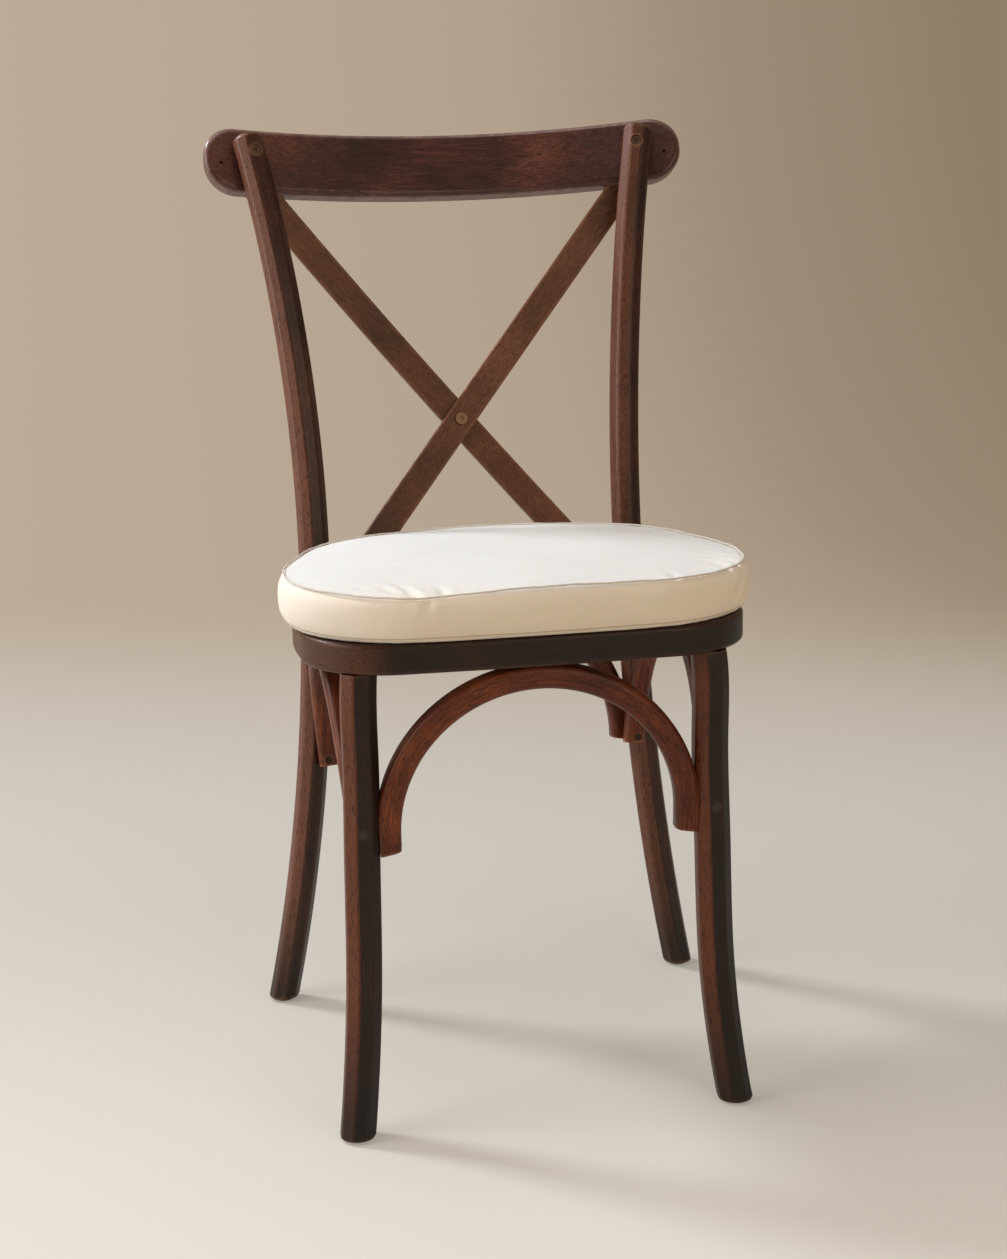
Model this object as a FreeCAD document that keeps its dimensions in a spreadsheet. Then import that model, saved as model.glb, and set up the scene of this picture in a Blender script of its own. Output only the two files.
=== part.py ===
"""Cross back dining chair of bent wood with a loose boxed cushion.

Millimetres. +Z is up, the front faces -Y and +X is to the right of someone looking at the front.
Two bent posts run on below the seat as rear legs. A bent crest rail is bolted behind their tops, two
bowed slats cross between the crest and the seat ring, and four bent arches brace the legs under it.
"""
import FreeCAD, Part
import math
import os
from FreeCAD import Placement, Rotation, Vector

# Driving dimensions. Depths are counted from the plane midway between the feet, before chair_shift.
SIZES = {
    # where the chair stands over the origin
    "chair_shift": -67.0,
    # rear posts: half widths across the chair, depths and heights of the bend
    "post_flat": 29.0,
    "post_ease": 5.0,
    "post_turn": 16.5,
    "post_top_height": 874.0,
    "post_top_ease": 10.0,
    "post_waist_height": 486.0,
    "post_waist_half": 159.5,
    "post_top_half": 196.0,
    "post_foot_half": 211.0,
    "post_plumb_height": 280.0,
    "post_plumb_depth": 157.0,
    "post_lean_back": 99.0,
    "post_foot_back": 15.0,
    # front legs
    "front_flat": 31.0,
    "front_ease": 4.0,
    "front_half": 154.5,
    "front_depth": 151.5,
    "front_splay": 8.5,
    "front_flare_height": 180.0,
    "front_flare_out": 11.0,
    "front_flare_forward": 19.0,
    # feet
    "glide_height": 3.0,
    "glide_radius": 10.5,
    "glide_nail_radius": 1.5,
    "glide_nail_length": 14.0,
    "foot_chamfer": 1.5,
    # seat ring and panel
    "seat_height": 449.0,
    "ring_height": 27.5,
    "ring_width": 36.0,
    "ring_ease": 4.0,
    "ring_front_depth": 181.0,
    "ring_front_bow": 900.0,
    "ring_corner_half": 195.0,
    "ring_corner_depth": 175.0,
    "ring_corner_radius": 81.0,
    "ring_side_half": 203.0,
    "ring_side_depth": 40.0,
    "ring_side_bow": 300.0,
    "ring_rear_half": 165.0,
    "ring_rear_depth": 160.0,
    "ring_rear_radius": 50.0,
    "ring_back_depth": 205.0,
    "ring_back_bow": 400.0,
    "rebate_width": 10.0,
    "panel_thickness": 6.0,
    # crest rail
    "crest_length": 486.0,
    "crest_height": 66.0,
    "crest_thickness": 22.0,
    "crest_ease": 6.0,
    "crest_end_radius": 31.0,
    "crest_bolt_height": 855.0,
    # crossed slats
    "slat_width": 28.0,
    "slat_thickness": 8.0,
    "slat_ease": 1.5,
    "slat_bow": 15.0,
    "slat_top_half": 202.5,
    "slat_top_depth": 22.0,
    "slat_foot_half": 126.5,
    "slat_foot_rise": 14.0,
    "slat_foot_housing": 3.5,
    # arches under the seat
    "arch_thickness": 22.0,
    "arch_depth": 20.0,
    "arch_ease": 6.5,
    "arch_lean": 12.0,
    "arch_foot_height": 256.0,
    "arch_end_bevel": 4.0,
    "arch_screw_rise": 10.0,
    "leg_screw_rise": 24.0,
    "arch_housing": 3.0,
    "side_arch_half": 158.0,
    # fasteners
    "bolt_radius": 3.0,
    "bolt_head_radius": 5.5,
    "bolt_head_height": 4.0,
    "bolt_recess": 2.0,
    "crest_bolt_length": 37.0,
    "seat_bolt_length": 48.0,
    "insert_radius": 5.0,
    "insert_length": 12.0,
    "cross_head_radius": 6.0,
    "cross_head_height": 3.0,
    "cross_nut_radius": 6.0,
    "cross_nut_height": 5.0,
    "socket_radius": 2.2,
    "socket_depth": 2.0,
    "screw_radius": 2.0,
    "screw_head_radius": 4.0,
    "screw_head_height": 2.6,
    "end_screw_length": 36.0,
    "leg_screw_length": 46.0,
    "top_screw_length": 38.0,
    "slat_screw_length": 24.0,
    "dowel_radius": 6.0,
    "dowel_length": 44.0,
    "pin_radius": 1.8,
    "pin_length": 12.0,
    "pin_end_inset": 14.0,
    "pin_drop": 5.0,
    # loose cushion
    "cushion_overhang": 5.0,
    "cushion_side_overhang": 9.0,
    "cushion_front_bow": 780.0,
    "cushion_corner_radius": 112.0,
    "cushion_side_bow": 160.0,
    "cushion_rear_half": 162.0,
    "cushion_rear_depth": 96.0,
    "cushion_rear_radius": 124.0,
    "cushion_back_depth": 153.0,
    "cushion_back_bow": 310.0,
    "boxing_height": 41.5,
    "boxing_bulge": 4.5,
    "seam_inset": 2.0,
    "crown_height": 6.5,
    "fabric": 1.2,
    "welt_radius": 1.2,
    # clearances
    "joint_gap": 0.2,
    "crest_gap": 0.7,
    "arch_gap": 0.6,
    "welt_gap": 0.4,
    "rest_gap": 0.3,
    "bore_gap": 0.1,
}

doc = FreeCAD.newDocument("cross_back_chair")
sheet = doc.addObject("Spreadsheet::Sheet", "Sizes")
for row, (name, value) in enumerate(SIZES.items(), start=1):
    sheet.set(f"A{row}", name)
    sheet.set(f"B{row}", str(value))
    sheet.setAlias(f"B{row}", name)
doc.recompute()

PIECES = {}
SIDES = {"left": -1, "right": 1}
UP = Vector(0, 0, 1)


def size(name):
    """A driving dimension, read from the sheet."""
    return float(sheet.get(name))


def feature(label, shape):
    """Adds a sub-part whose shape is worked out here."""
    piece = doc.addObject("Part::Feature", label)
    piece.Label = label
    piece.Shape = shape
    piece.Placement = Placement()
    PIECES[label] = piece
    return piece


def reaching(tools, shape):
    """Those of the tools whose boxes reach the shape's box."""
    return [tool for tool in tools if tool.BoundBox.intersect(shape.BoundBox)]


def cut_piece(label, blank, tools):
    """Adds a sub-part that is a blank object with holes, housings and seats cut from it."""
    near = reaching(tools, blank.Shape)
    holder = doc.addObject("Part::Feature", label + "_cuts")
    holder.Shape = near[0].multiFuse(near[1:]) if len(near) > 1 else near[0]
    piece = doc.addObject("Part::Cut", label)
    piece.Label = label
    piece.Base = blank
    piece.Tool = holder
    PIECES[label] = piece
    return piece


def plane_of(body, role):
    """The body's own origin plane with this role."""
    return next(item for item in body.Origin.OriginFeatures if item.Role == role)


def sketch_on(body, role, name, edges, offset=Placement()):
    """A sketch of the given edges on one of the body's origin planes."""
    sketch = body.newObject("Sketcher::SketchObject", name)
    sketch.AttachmentSupport = [(plane_of(body, role), "")]
    sketch.MapMode = "FlatFace"
    sketch.AttachmentOffset = offset
    for edge in edges:
        sketch.addGeometry(edge, False)
    doc.recompute()
    return sketch


def polyline(points):
    """Closed run of straight edges through the points."""
    return [Part.LineSegment(a, b) for a, b in zip(points, points[1:] + points[:1])]


def wire_of(curves):
    """A wire from curves that follow one another."""
    return Part.Wire([curve.toShape() for curve in curves])


def rod(start, direction, length, radius):
    """A plain cylinder from start along direction."""
    return Part.makeCylinder(radius, length, start, direction)


# Shape of the bent legs

def post_half(height):
    """Half distance between the posts: drawn in at the waist, spread at the top and at the feet."""
    waist = size("post_waist_height")
    if height > waist:
        share = (height - waist) / (size("crest_bolt_height") - waist)
        return size("post_waist_half") + (size("post_top_half") - size("post_waist_half")) * share ** 2
    share = (waist - height) / waist
    return size("post_waist_half") + (size("post_foot_half") - size("post_waist_half")) * share ** 2


def post_depth(height):
    """Depth of the posts: plumb below the seat, leaning back above it and a little at the foot."""
    plumb = size("post_plumb_height")
    if height > plumb:
        share = (height - plumb) / (size("crest_bolt_height") - plumb)
        return size("post_plumb_depth") + size("post_lean_back") * share ** 2
    share = (plumb - height) / plumb
    return size("post_plumb_depth") + size("post_foot_back") * share ** 2


def front_half(height):
    """Half distance between the front legs: a slight splay and a flare at the foot."""
    under_ring = size("seat_height") - size("ring_height")
    splay = size("front_splay") * (under_ring - height) / under_ring
    flare = max(0.0, 1 - height / size("front_flare_height"))
    return size("front_half") + splay + size("front_flare_out") * flare ** 2


def front_depth(height):
    """Depth of the front legs: plumb, then flared forward at the foot."""
    flare = max(0.0, 1 - height / size("front_flare_height"))
    return -size("front_depth") - size("front_flare_forward") * flare ** 2


def post_axis(side, height):
    """Point on a rear post's centre line."""
    return Vector(side * post_half(height), post_depth(height) + size("chair_shift"), height)


def front_axis(side, height):
    """Point on a front leg's centre line."""
    return Vector(side * front_half(height), front_depth(height) + size("chair_shift"), height)


def octagon(centre, flat, ease, turn):
    """Level eight-sided section, flat mm across, with corners eased to a radius and turned about Z."""
    half_turn = math.radians(22.5)
    corner = flat / 2 / math.cos(half_turn)
    reach = ease * math.tan(half_turn)
    crest = corner - ease * (1 / math.cos(half_turn) - 1)
    angles = [math.radians(turn) + half_turn * (2 * step + 1) for step in range(8)]
    points = [centre + Vector(math.cos(a), math.sin(a), 0) * corner for a in angles]
    starts, ends, tops = [], [], []
    for step, point in enumerate(points):
        before = (points[step - 1] - point).normalize()
        after = (points[(step + 1) % 8] - point).normalize()
        starts.append(point + before * reach)
        ends.append(point + after * reach)
        tops.append(centre + (point - centre).normalize() * crest)
    curves = []
    for step in range(8):
        curves.append(Part.Arc(starts[step], tops[step], ends[step]))
        curves.append(Part.LineSegment(ends[step], starts[(step + 1) % 8]))
    return wire_of(curves)


def leg_solid(axis, heights, flat, ease, turn):
    """A bent eight-sided leg: a loft through level sections along its centre line."""
    sections = [octagon(axis(height), flat, ease, turn) for height in heights]
    return Part.makeLoft(sections, True, False)


def spread(low, high, count):
    """Evenly spaced heights from low to high."""
    return [low + (high - low) * step / (count - 1) for step in range(count)]


def post_solid(side, heights, grow=0.0):
    """A rear post with leg, or a length of it, grown all round where it cuts a seat for itself."""
    return leg_solid(lambda height: post_axis(side, height), heights, size("post_flat") + 2 * grow,
                     size("post_ease") + grow, -side * size("post_turn"))


def front_solid(side, heights, grow=0.0):
    """A front leg, or a length of it, grown where it is used as a cutter."""
    return leg_solid(lambda height: front_axis(side, height), heights, size("front_flat") + 2 * grow,
                     size("front_ease") + grow, 0.0)


def round_end(end, direction, radius, ease):
    """Tool that cuts a bar off at end, past direction, and rounds what is left over by ease."""
    start = end - direction * (2 * ease)
    block = rod(start, direction, 6 * ease, 3 * radius)
    kept = rod(start, direction, 2 * ease, radius)
    rim = [edge for edge in kept.Edges if (edge.CenterOfMass - end).Length < ease / 10]
    return block.cut(kept.makeFillet(ease, rim))


def chamfer_foot(foot, radius, chamfer):
    """Tool that takes the sharp corner off a leg's level foot."""
    block = rod(foot, UP, 2 * chamfer, 3 * radius)
    return block.cut(Part.makeCone(radius - chamfer, radius, 2 * chamfer, foot, UP))


# Fasteners: each is a pair of functions, the solid and the bore that clears it

def bolt_solid(start, direction, length, head_radius, head_height, shank_radius):
    """Cap bolt whose head's underside is at start, with a round socket in the head."""
    head = rod(start - direction * head_height, direction, head_height, head_radius)
    shank = rod(start, direction, length, shank_radius)
    socket = rod(start - direction * head_height, direction, size("socket_depth"), size("socket_radius"))
    return head.fuse(shank).removeSplitter().cut(socket)


def bolt_bore(start, direction, length, head_radius, shank_radius, reach):
    """Bore that clears a bolt, with a counterbore that runs out past the wood by reach."""
    gap = size("bore_gap")
    head = rod(start - direction * reach, direction, reach, head_radius + gap)
    shank = rod(start, direction, length + gap, shank_radius + gap)
    return head.fuse(shank)


def screw_solid(start, direction, length):
    """Countersunk wood screw whose head's face is at start."""
    head = Part.makeCone(size("screw_head_radius"), size("screw_radius"), size("screw_head_height"),
                         start, direction)
    shank = rod(start, direction, length, size("screw_radius"))
    return head.fuse(shank).removeSplitter()


def screw_bore(start, direction, length, reach):
    """Bore that clears a screw and opens its head to the outside."""
    gap = size("bore_gap")
    head = Part.makeCone(size("screw_head_radius") + gap, size("screw_radius") + gap,
                         size("screw_head_height"), start, direction)
    mouth = rod(start - direction * reach, direction, reach, size("screw_head_radius") + gap)
    shank = rod(start, direction, length + gap, size("screw_radius") + gap)
    return head.fuse(shank).fuse(mouth)


def on_face(solid, start, direction):
    """First point of the solid met by a ray from start along direction."""
    ray = Part.makeLine(start, start + direction * size("seat_height"))
    inside = solid.common(ray)
    return min((vertex.Point for vertex in inside.Vertexes), key=lambda point: (point - start).Length)


# Rounded outlines of the seat and the cushion

def corner_arcs(corners):
    """Arcs that round a closed outline: each has a centre, a radius and its two end normals."""
    arcs = []
    for step, (point, radius) in enumerate(corners):
        before = (point - corners[step - 1][0]).normalize()
        after = (corners[(step + 1) % len(corners)][0] - point).normalize()
        half = before.getAngle(after) / 2
        out_before = Vector(before.y, -before.x, 0)
        out_after = Vector(after.y, -after.x, 0)
        centre = point - (out_before + out_after).normalize() * (radius / math.cos(half))
        arcs.append((centre, radius, out_before, out_after))
    return arcs


def outline(corners, inset, height):
    """Closed curves of a rounded outline, drawn in by inset, at a height."""
    lift = Vector(0, 0, height)
    rounds = []
    for centre, radius, first, last in corner_arcs(corners):
        middle = (first + last).normalize()
        rounds.append([centre + turn * (radius - inset) + lift for turn in (first, middle, last)])
    curves = []
    for step, (start, top, end) in enumerate(rounds):
        curves.append(Part.Arc(start, top, end))
        curves.append(Part.LineSegment(end, rounds[(step + 1) % len(rounds)][0]))
    return curves


def mirrored_outline(front, right, back):
    """Corners of a symmetric outline, run anticlockwise from the front point."""
    left = [(Vector(-point.x, point.y, 0), radius) for point, radius in reversed(right)]
    return [front] + right + [back] + left


def seat_corner(half, depth, radius):
    """A corner of a seat outline, with the radius that rounds it."""
    return (Vector(half, depth + size("chair_shift"), 0), radius)


RING_OUTLINE = mirrored_outline(
    seat_corner(0, -size("ring_front_depth"), size("ring_front_bow")),
    [seat_corner(size("ring_corner_half"), -size("ring_corner_depth"), size("ring_corner_radius")),
     seat_corner(size("ring_side_half"), -size("ring_side_depth"), size("ring_side_bow")),
     seat_corner(size("ring_rear_half"), size("ring_rear_depth"), size("ring_rear_radius"))],
    seat_corner(0, size("ring_back_depth"), size("ring_back_bow")))

OVERHANG = size("cushion_overhang")
CUSHION_OUTLINE = mirrored_outline(
    seat_corner(0, -size("ring_front_depth") - OVERHANG, size("cushion_front_bow")),
    [seat_corner(size("ring_corner_half") + OVERHANG / 2, -size("ring_corner_depth") - OVERHANG / 2,
                 size("cushion_corner_radius")),
     seat_corner(size("ring_side_half") + size("cushion_side_overhang"), -size("ring_side_depth"),
                 size("cushion_side_bow")),
     seat_corner(size("cushion_rear_half"), size("cushion_rear_depth"), size("cushion_rear_radius"))],
    seat_corner(0, size("cushion_back_depth"), size("cushion_back_bow")))

RING_UNDERSIDE = size("seat_height") - size("ring_height")

# Crest rail frame: the rail seats flat on the backs of both posts, which sets its tilt and its bend

STEP = 0.5
bolt_height = size("crest_bolt_height")
post_slope = (post_axis(1, bolt_height + STEP) - post_axis(1, bolt_height - STEP)) * (0.5 / STEP)
turn = math.radians(size("post_turn"))
level_normal = Vector(math.sin(turn), math.cos(turn), 0)
crest_normal = Vector(level_normal.x, level_normal.y, -post_slope.dot(level_normal)).normalize()
post_half_thick = size("post_flat") / 2 * level_normal.dot(crest_normal)
crest_offset = post_half_thick + size("crest_gap") + size("crest_thickness") / 2
crest_seat = post_axis(1, bolt_height) + crest_normal * crest_offset
crest_tilt = math.atan2(-crest_normal.z, crest_normal.y)
crest_bend = crest_seat.x / crest_normal.x
crest_back = Vector(0, math.cos(crest_tilt), -math.sin(crest_tilt))
crest_up = Vector(0, math.sin(crest_tilt), math.cos(crest_tilt))


def crest_sag(half):
    """How far the bent rail has come forward at this distance from the middle."""
    return crest_bend - math.sqrt(crest_bend ** 2 - half ** 2)


crest_origin = Vector(0, crest_seat.y, crest_seat.z) + crest_back * crest_sag(crest_seat.x)


def crest_point(half, rise):
    """Point on the rail's middle surface, rise above its centre line."""
    return crest_origin + Vector(half, 0, 0) - crest_back * crest_sag(half) + crest_up * rise


# Crossed slats: bowed strips from the crest's lower edge to the back of the seat ring

slat_head = crest_point(size("slat_top_half"), size("slat_top_depth") - size("crest_height") / 2)
ring_slope = (size("ring_back_depth") - size("ring_rear_depth")) / size("ring_rear_half")
slat_foot_y = size("ring_back_depth") - ring_slope * size("slat_foot_half") + size("chair_shift")
slat_foot_y += size("slat_thickness") / 2 - size("slat_foot_housing")
slat_foot = Vector(-size("slat_foot_half"), slat_foot_y, RING_UNDERSIDE + size("slat_foot_rise"))
slat_run = slat_head - slat_foot
slat_length = slat_run.Length
slat_normal = Vector(0, slat_run.z, -slat_run.y).normalize()
cross_share = size("slat_foot_half") / (size("slat_foot_half") + size("slat_top_half"))
cross_angle = math.acos(slat_run.x / slat_length)
cross_reach = size("slat_width") / math.sin(2 * cross_angle) / slat_length
low_share = cross_share - cross_reach
slat_part = (size("slat_thickness") + size("joint_gap")) / (4 * low_share * (1 - low_share))


def slat_placement(side):
    """Frame of a slat: X along it, Y through its thickness towards the back, Z across it."""
    along = Vector(side * slat_run.x, slat_run.y, slat_run.z).normalize()
    foot = Vector(side * slat_foot.x, slat_foot.y, slat_foot.z)
    turned = Rotation(along, slat_normal, along.cross(slat_normal), "XYZ")
    return Placement(foot, turned)


def slat_bow(layer):
    """Bow of a slat at its middle: the front one passes before the back one where they cross."""
    return size("slat_bow") + layer * slat_part / 2


def slat_band(layer, grow=0.0):
    """Edges of a slat's bowed thickness, in its own frame."""
    half = size("slat_thickness") / 2 + grow
    bow = slat_bow(layer)
    ends = (-grow, slat_length + grow)
    middle = slat_length / 2
    near = [Vector(ends[0], -half, 0), Vector(middle, bow - half, 0), Vector(ends[1], -half, 0)]
    far = [Vector(ends[0], half, 0), Vector(middle, bow + half, 0), Vector(ends[1], half, 0)]
    return [Part.Arc(*near), Part.LineSegment(near[2], far[2]), Part.Arc(*reversed(far)),
            Part.LineSegment(far[0], near[0])]


def slat_cutter(side, layer):
    """A slat grown by the joint gap, which cuts the housings for its ends."""
    grow = size("joint_gap")
    width = size("slat_width") + 2 * grow
    strip = Part.Face(wire_of(slat_band(layer, grow))).extrude(UP * width)
    strip.translate(UP * (-width / 2))
    strip.Placement = slat_placement(side).multiply(strip.Placement)
    return strip


def slat_point(side, layer, share):
    """Point on a slat's middle surface, at a share of its length from the foot."""
    rise = 4 * share * (1 - share) * slat_bow(layer)
    return slat_placement(side).multVec(Vector(share * slat_length, rise, 0))


SLATS = {"cross_slat_front": (1, -1), "cross_slat_back": (-1, 1)}
SLAT_CUTTERS = [slat_cutter(side, layer) for side, layer in SLATS.values()]

# Where the fasteners go: start of each, its direction and what it goes through

crest_bolts = {}
seat_bolts = {}
for side in SIDES.values():
    inward = Vector(side * crest_normal.x, crest_normal.y, crest_normal.z)
    face = post_axis(side, bolt_height) - inward * post_half_thick
    crest_bolts[side] = (face + inward * (size("bolt_recess") + size("bolt_head_height")), inward)
    corner_turn = math.radians(size("post_turn") + 45)
    level = Vector(-side * math.sin(corner_turn), -math.cos(corner_turn), 0)
    ring_middle = RING_UNDERSIDE + (size("ring_height") - size("panel_thickness")) / 2
    face = post_axis(side, ring_middle) - level * (size("post_flat") / 2)
    seat_bolts[side] = (face + level * (size("bolt_recess") + size("bolt_head_height")), level)

SLAT_SCREW_SHARE = size("slat_width") / 2 / slat_length
slat_screws = []
for side, layer in SLATS.values():
    back = slat_point(side, layer, SLAT_SCREW_SHARE) + slat_normal * (size("slat_thickness") / 2)
    slat_screws.append((back, slat_normal * -1))

cross_point = slat_point(1, -1, cross_share)
bolt_stand_off = slat_normal * (size("slat_thickness") / 2 + size("rest_gap"))
cross_front = cross_point - bolt_stand_off
cross_back = slat_point(-1, 1, cross_share) + bolt_stand_off
cross_grip = (cross_back - cross_front).dot(slat_normal)

RECESS_REACH = size("post_flat")


def crest_bore(side):
    """Bore for a crest bolt through the post and into the rail."""
    start, direction = crest_bolts[side]
    return bolt_bore(start, direction, size("crest_bolt_length"), size("bolt_head_radius"),
                     size("bolt_radius"), RECESS_REACH / 2)


def seat_bore(side):
    """Bore for a seat bolt through the post and into the ring."""
    start, direction = seat_bolts[side]
    return bolt_bore(start, direction, size("seat_bolt_length"), size("bolt_head_radius"),
                     size("bolt_radius"), RECESS_REACH / 2)


def insert_at(start, direction, length, grow=0.0):
    """Solid round of a threaded insert at the far end of a bolt."""
    tail = start + direction * (length - size("insert_length") - grow)
    return rod(tail, direction, size("insert_length") + 2 * grow, size("insert_radius") + grow)


# Arches: a bent bar from leg to leg, its crown against the ring's underside

def arch_frame(name):
    """Half span, centre line placement and crown lean of an arch, worked out from the legs it meets."""
    foot = size("arch_foot_height") + size("arch_screw_rise")
    front_inner = front_half(foot) - size("front_flat") / 2
    rear_inner = post_half(foot) - size("post_flat") / 2
    if name == "front_arch":
        return front_inner, Vector(0, front_depth(foot), 0), Rotation(), Vector(0, -1, 0)
    if name == "back_arch":
        return rear_inner, Vector(0, post_depth(foot), 0), Rotation(), Vector(0, 1, 0)
    side = -1 if name == "left_arch" else 1
    near = front_depth(foot) + size("front_flat") / 2
    far = post_depth(foot) - size("post_flat") / 2
    centre = Vector(side * size("side_arch_half"), (near + far) / 2, 0)
    return (far - near) / 2, centre, Rotation(UP, 90), Vector(side, 0, 0)


ARCHES = ("front_arch", "back_arch", "left_arch", "right_arch")
arch_sizes = {}
for name in ARCHES:
    half_span, centre, heading, out = arch_frame(name)
    radius = half_span + size("arch_housing")
    lean = math.asin(size("arch_lean") / radius)
    crown_height = RING_UNDERSIDE - radius * math.cos(lean)
    centre.z = crown_height
    centre.y += size("chair_shift")
    tilt = Rotation(UP.cross(out), math.degrees(lean))
    arch_sizes[name] = (radius, Placement(centre, tilt.multiply(heading)), out)


def arch_blank(name):
    """A bar swept along the arch's centre line: up from a foot, over the half circle and down again.
    Where the feet lie above the half circle's ends, one flatter arc joins the feet and the crown."""
    radius, placement, out = arch_sizes[name]
    middle = radius - size("arch_thickness") / 2
    drop = (placement.Base.z - size("arch_foot_height")) / UP.dot(placement.Rotation.multVec(UP))
    body = doc.addObject("PartDesign::Body", name + "_bar")
    if drop > 0:
        path = [Part.LineSegment(Vector(-middle, -drop, 0), Vector(-middle, 0, 0)),
                Part.Arc(Vector(-middle, 0, 0), Vector(0, middle, 0), Vector(middle, 0, 0)),
                Part.LineSegment(Vector(middle, 0, 0), Vector(middle, -drop, 0))]
        foot_turn = 0.0
    else:
        path = [Part.Arc(Vector(-middle, -drop, 0), Vector(0, middle, 0), Vector(middle, -drop, 0))]
        foot_turn = 90.0 - 2.0 * math.degrees(math.atan2(middle + drop, middle))
    spine = sketch_on(body, "XZ_Plane", name + "_path", path)
    half_t = size("arch_thickness") / 2
    half_d = size("arch_depth") / 2
    ease = size("arch_ease")
    corners = [(Vector(half_t, -half_d, 0), ease), (Vector(half_t, half_d, 0), ease),
               (Vector(-half_t, half_d, 0), ease), (Vector(-half_t, -half_d, 0), ease)]
    at_foot = Placement(Vector(-middle, 0, -drop), Rotation(Vector(0, 1, 0), foot_turn))
    section = sketch_on(body, "XY_Plane", name + "_section", outline(corners, 0, 0), at_foot)
    bar = body.newObject("PartDesign::AdditivePipe", name + "_pipe")
    bar.Profile = section
    bar.Spine = (spine, ["Edge%d" % (step + 1) for step in range(len(path))])
    body.Tip = bar
    body.Placement = placement
    doc.recompute()
    return body


def end_bevels(name):
    """Wedges that cut an arch's ends so that they rise towards the inside."""
    radius, placement, out = arch_sizes[name]
    drop = (placement.Base.z - size("arch_foot_height")) / UP.dot(placement.Rotation.multVec(UP))
    thick = size("arch_thickness")
    deep = size("arch_depth")
    wedges = []
    for way in (-1, 1):
        outer = Vector(way * (radius + thick), 0, -drop - size("arch_end_bevel"))
        inner = Vector(way * (radius - 2 * thick), 0, -drop + 2 * size("arch_end_bevel"))
        below = Vector(0, 0, -thick)
        profile = polyline([outer, inner, Vector(inner.x, 0, outer.z) + below, outer + below])
        wedge = Part.Face(wire_of(profile)).extrude(Vector(0, 2 * deep, 0))
        wedge.translate(Vector(0, -deep, 0))
        wedge.Placement = placement.multiply(wedge.Placement)
        wedges.append(wedge)
    return wedges


# Cutters and screw places that several pieces share

ring_reach = (RING_UNDERSIDE - size("ring_ease"), size("seat_height") + size("ring_ease"))
POST_CUTTERS = [post_solid(side, ring_reach, size("joint_gap")) for side in SIDES.values()]
end_reach = spread(size("arch_foot_height") - size("arch_thickness"),
                   size("arch_foot_height") + 3 * size("arch_thickness"), 3)
END_CUTTERS = [leg(side, end_reach, size("arch_gap"))
               for leg in (post_solid, front_solid) for side in SIDES.values()]
FRONT_BEND = size("front_flare_height")
FRONT_HEIGHTS = spread(size("glide_height"), FRONT_BEND, 5) + spread(FRONT_BEND, RING_UNDERSIDE, 4)[1:]

seat_box = Part.makeBox(2 * size("crest_length"), 2 * size("crest_length"), size("ring_height"),
                        Vector(-size("crest_length"), -size("crest_length"), RING_UNDERSIDE))

arch_blanks = {name: arch_blank(name) for name in ARCHES}
screw_height = size("arch_foot_height") + size("arch_screw_rise")
end_screws = []
leg_screws = []
top_screws = []
for name in ARCHES:
    radius, placement, out = arch_sizes[name]
    along = placement.Rotation.multVec(Vector(1, 0, 0))
    solid = arch_blanks[name].Shape
    crown = placement.multVec(Vector(0, 0, radius - size("arch_thickness")))
    top_screws.append((crown, UP))
    for way in (-1, 1):
        inside = Vector(placement.Base.x, placement.Base.y, screw_height)
        target = on_face(solid, inside, along * way)
        if name in ("left_arch", "right_arch") and way * along.y < 0:
            leg_height = size("arch_foot_height") + size("leg_screw_rise")
            leg_face = front_axis(1, leg_height).y - size("front_flat") / 2
            leg_screws.append((Vector(target.x, leg_face, leg_height), Vector(0, 1, 0)))
        else:
            end_screws.append((target, along * way))

ALL_SCREW_BORES = []
MOUTH = size("screw_head_height") * 2
for start, direction in end_screws:
    ALL_SCREW_BORES.append(screw_bore(start, direction, size("end_screw_length"), MOUTH))
for start, direction in leg_screws:
    ALL_SCREW_BORES.append(screw_bore(start, direction, size("leg_screw_length"), MOUTH))
for start, direction in top_screws:
    ALL_SCREW_BORES.append(screw_bore(start, direction, size("top_screw_length"), MOUTH))
SLAT_BORES = [screw_bore(start, direction, size("slat_screw_length"), MOUTH)
              for start, direction in slat_screws]


def nail_bore(axis, side):
    """Bore in a foot for the glide's nail."""
    foot = axis(side, size("glide_height"))
    return rod(foot, UP, size("glide_nail_length") + size("bore_gap"),
               size("glide_nail_radius") + size("bore_gap"))


def dowel_bore(side):
    """Bore for a front leg's dowel, in the leg and in the ring."""
    start = front_axis(side, RING_UNDERSIDE) - UP * (size("dowel_length") / 2 + size("bore_gap"))
    return rod(start, UP, size("dowel_length") + 2 * size("bore_gap"),
               size("dowel_radius") + size("bore_gap"))


# Build: rear posts

POST_HEIGHTS = spread(size("glide_height"), size("post_top_height") + size("post_top_ease"), 11)
for name, side in SIDES.items():
    post = post_solid(side, POST_HEIGHTS)
    top = post_axis(side, size("post_top_height"))
    rising = (top - post_axis(side, size("post_top_height") - STEP)).normalize()
    radius = size("post_flat") / 2 / math.cos(math.radians(22.5))
    shaping = [round_end(top, rising, radius, size("post_top_ease")),
               chamfer_foot(post_axis(side, size("glide_height")), radius, size("foot_chamfer"))]
    bores = [crest_bore(side), seat_bore(side), nail_bore(post_axis, side)] + ALL_SCREW_BORES
    feature("rear_leg_" + name, post.cut(shaping + reaching(bores, post)))

# Build: front legs

for name, side in SIDES.items():
    leg = front_solid(side, FRONT_HEIGHTS)
    radius = size("front_flat") / 2 / math.cos(math.radians(22.5))
    foot_tool = chamfer_foot(front_axis(side, size("glide_height")), radius, size("foot_chamfer"))
    bores = [dowel_bore(side), nail_bore(front_axis, side)] + ALL_SCREW_BORES
    feature("front_leg_" + name, leg.cut([foot_tool] + reaching(bores, leg)))

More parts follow.
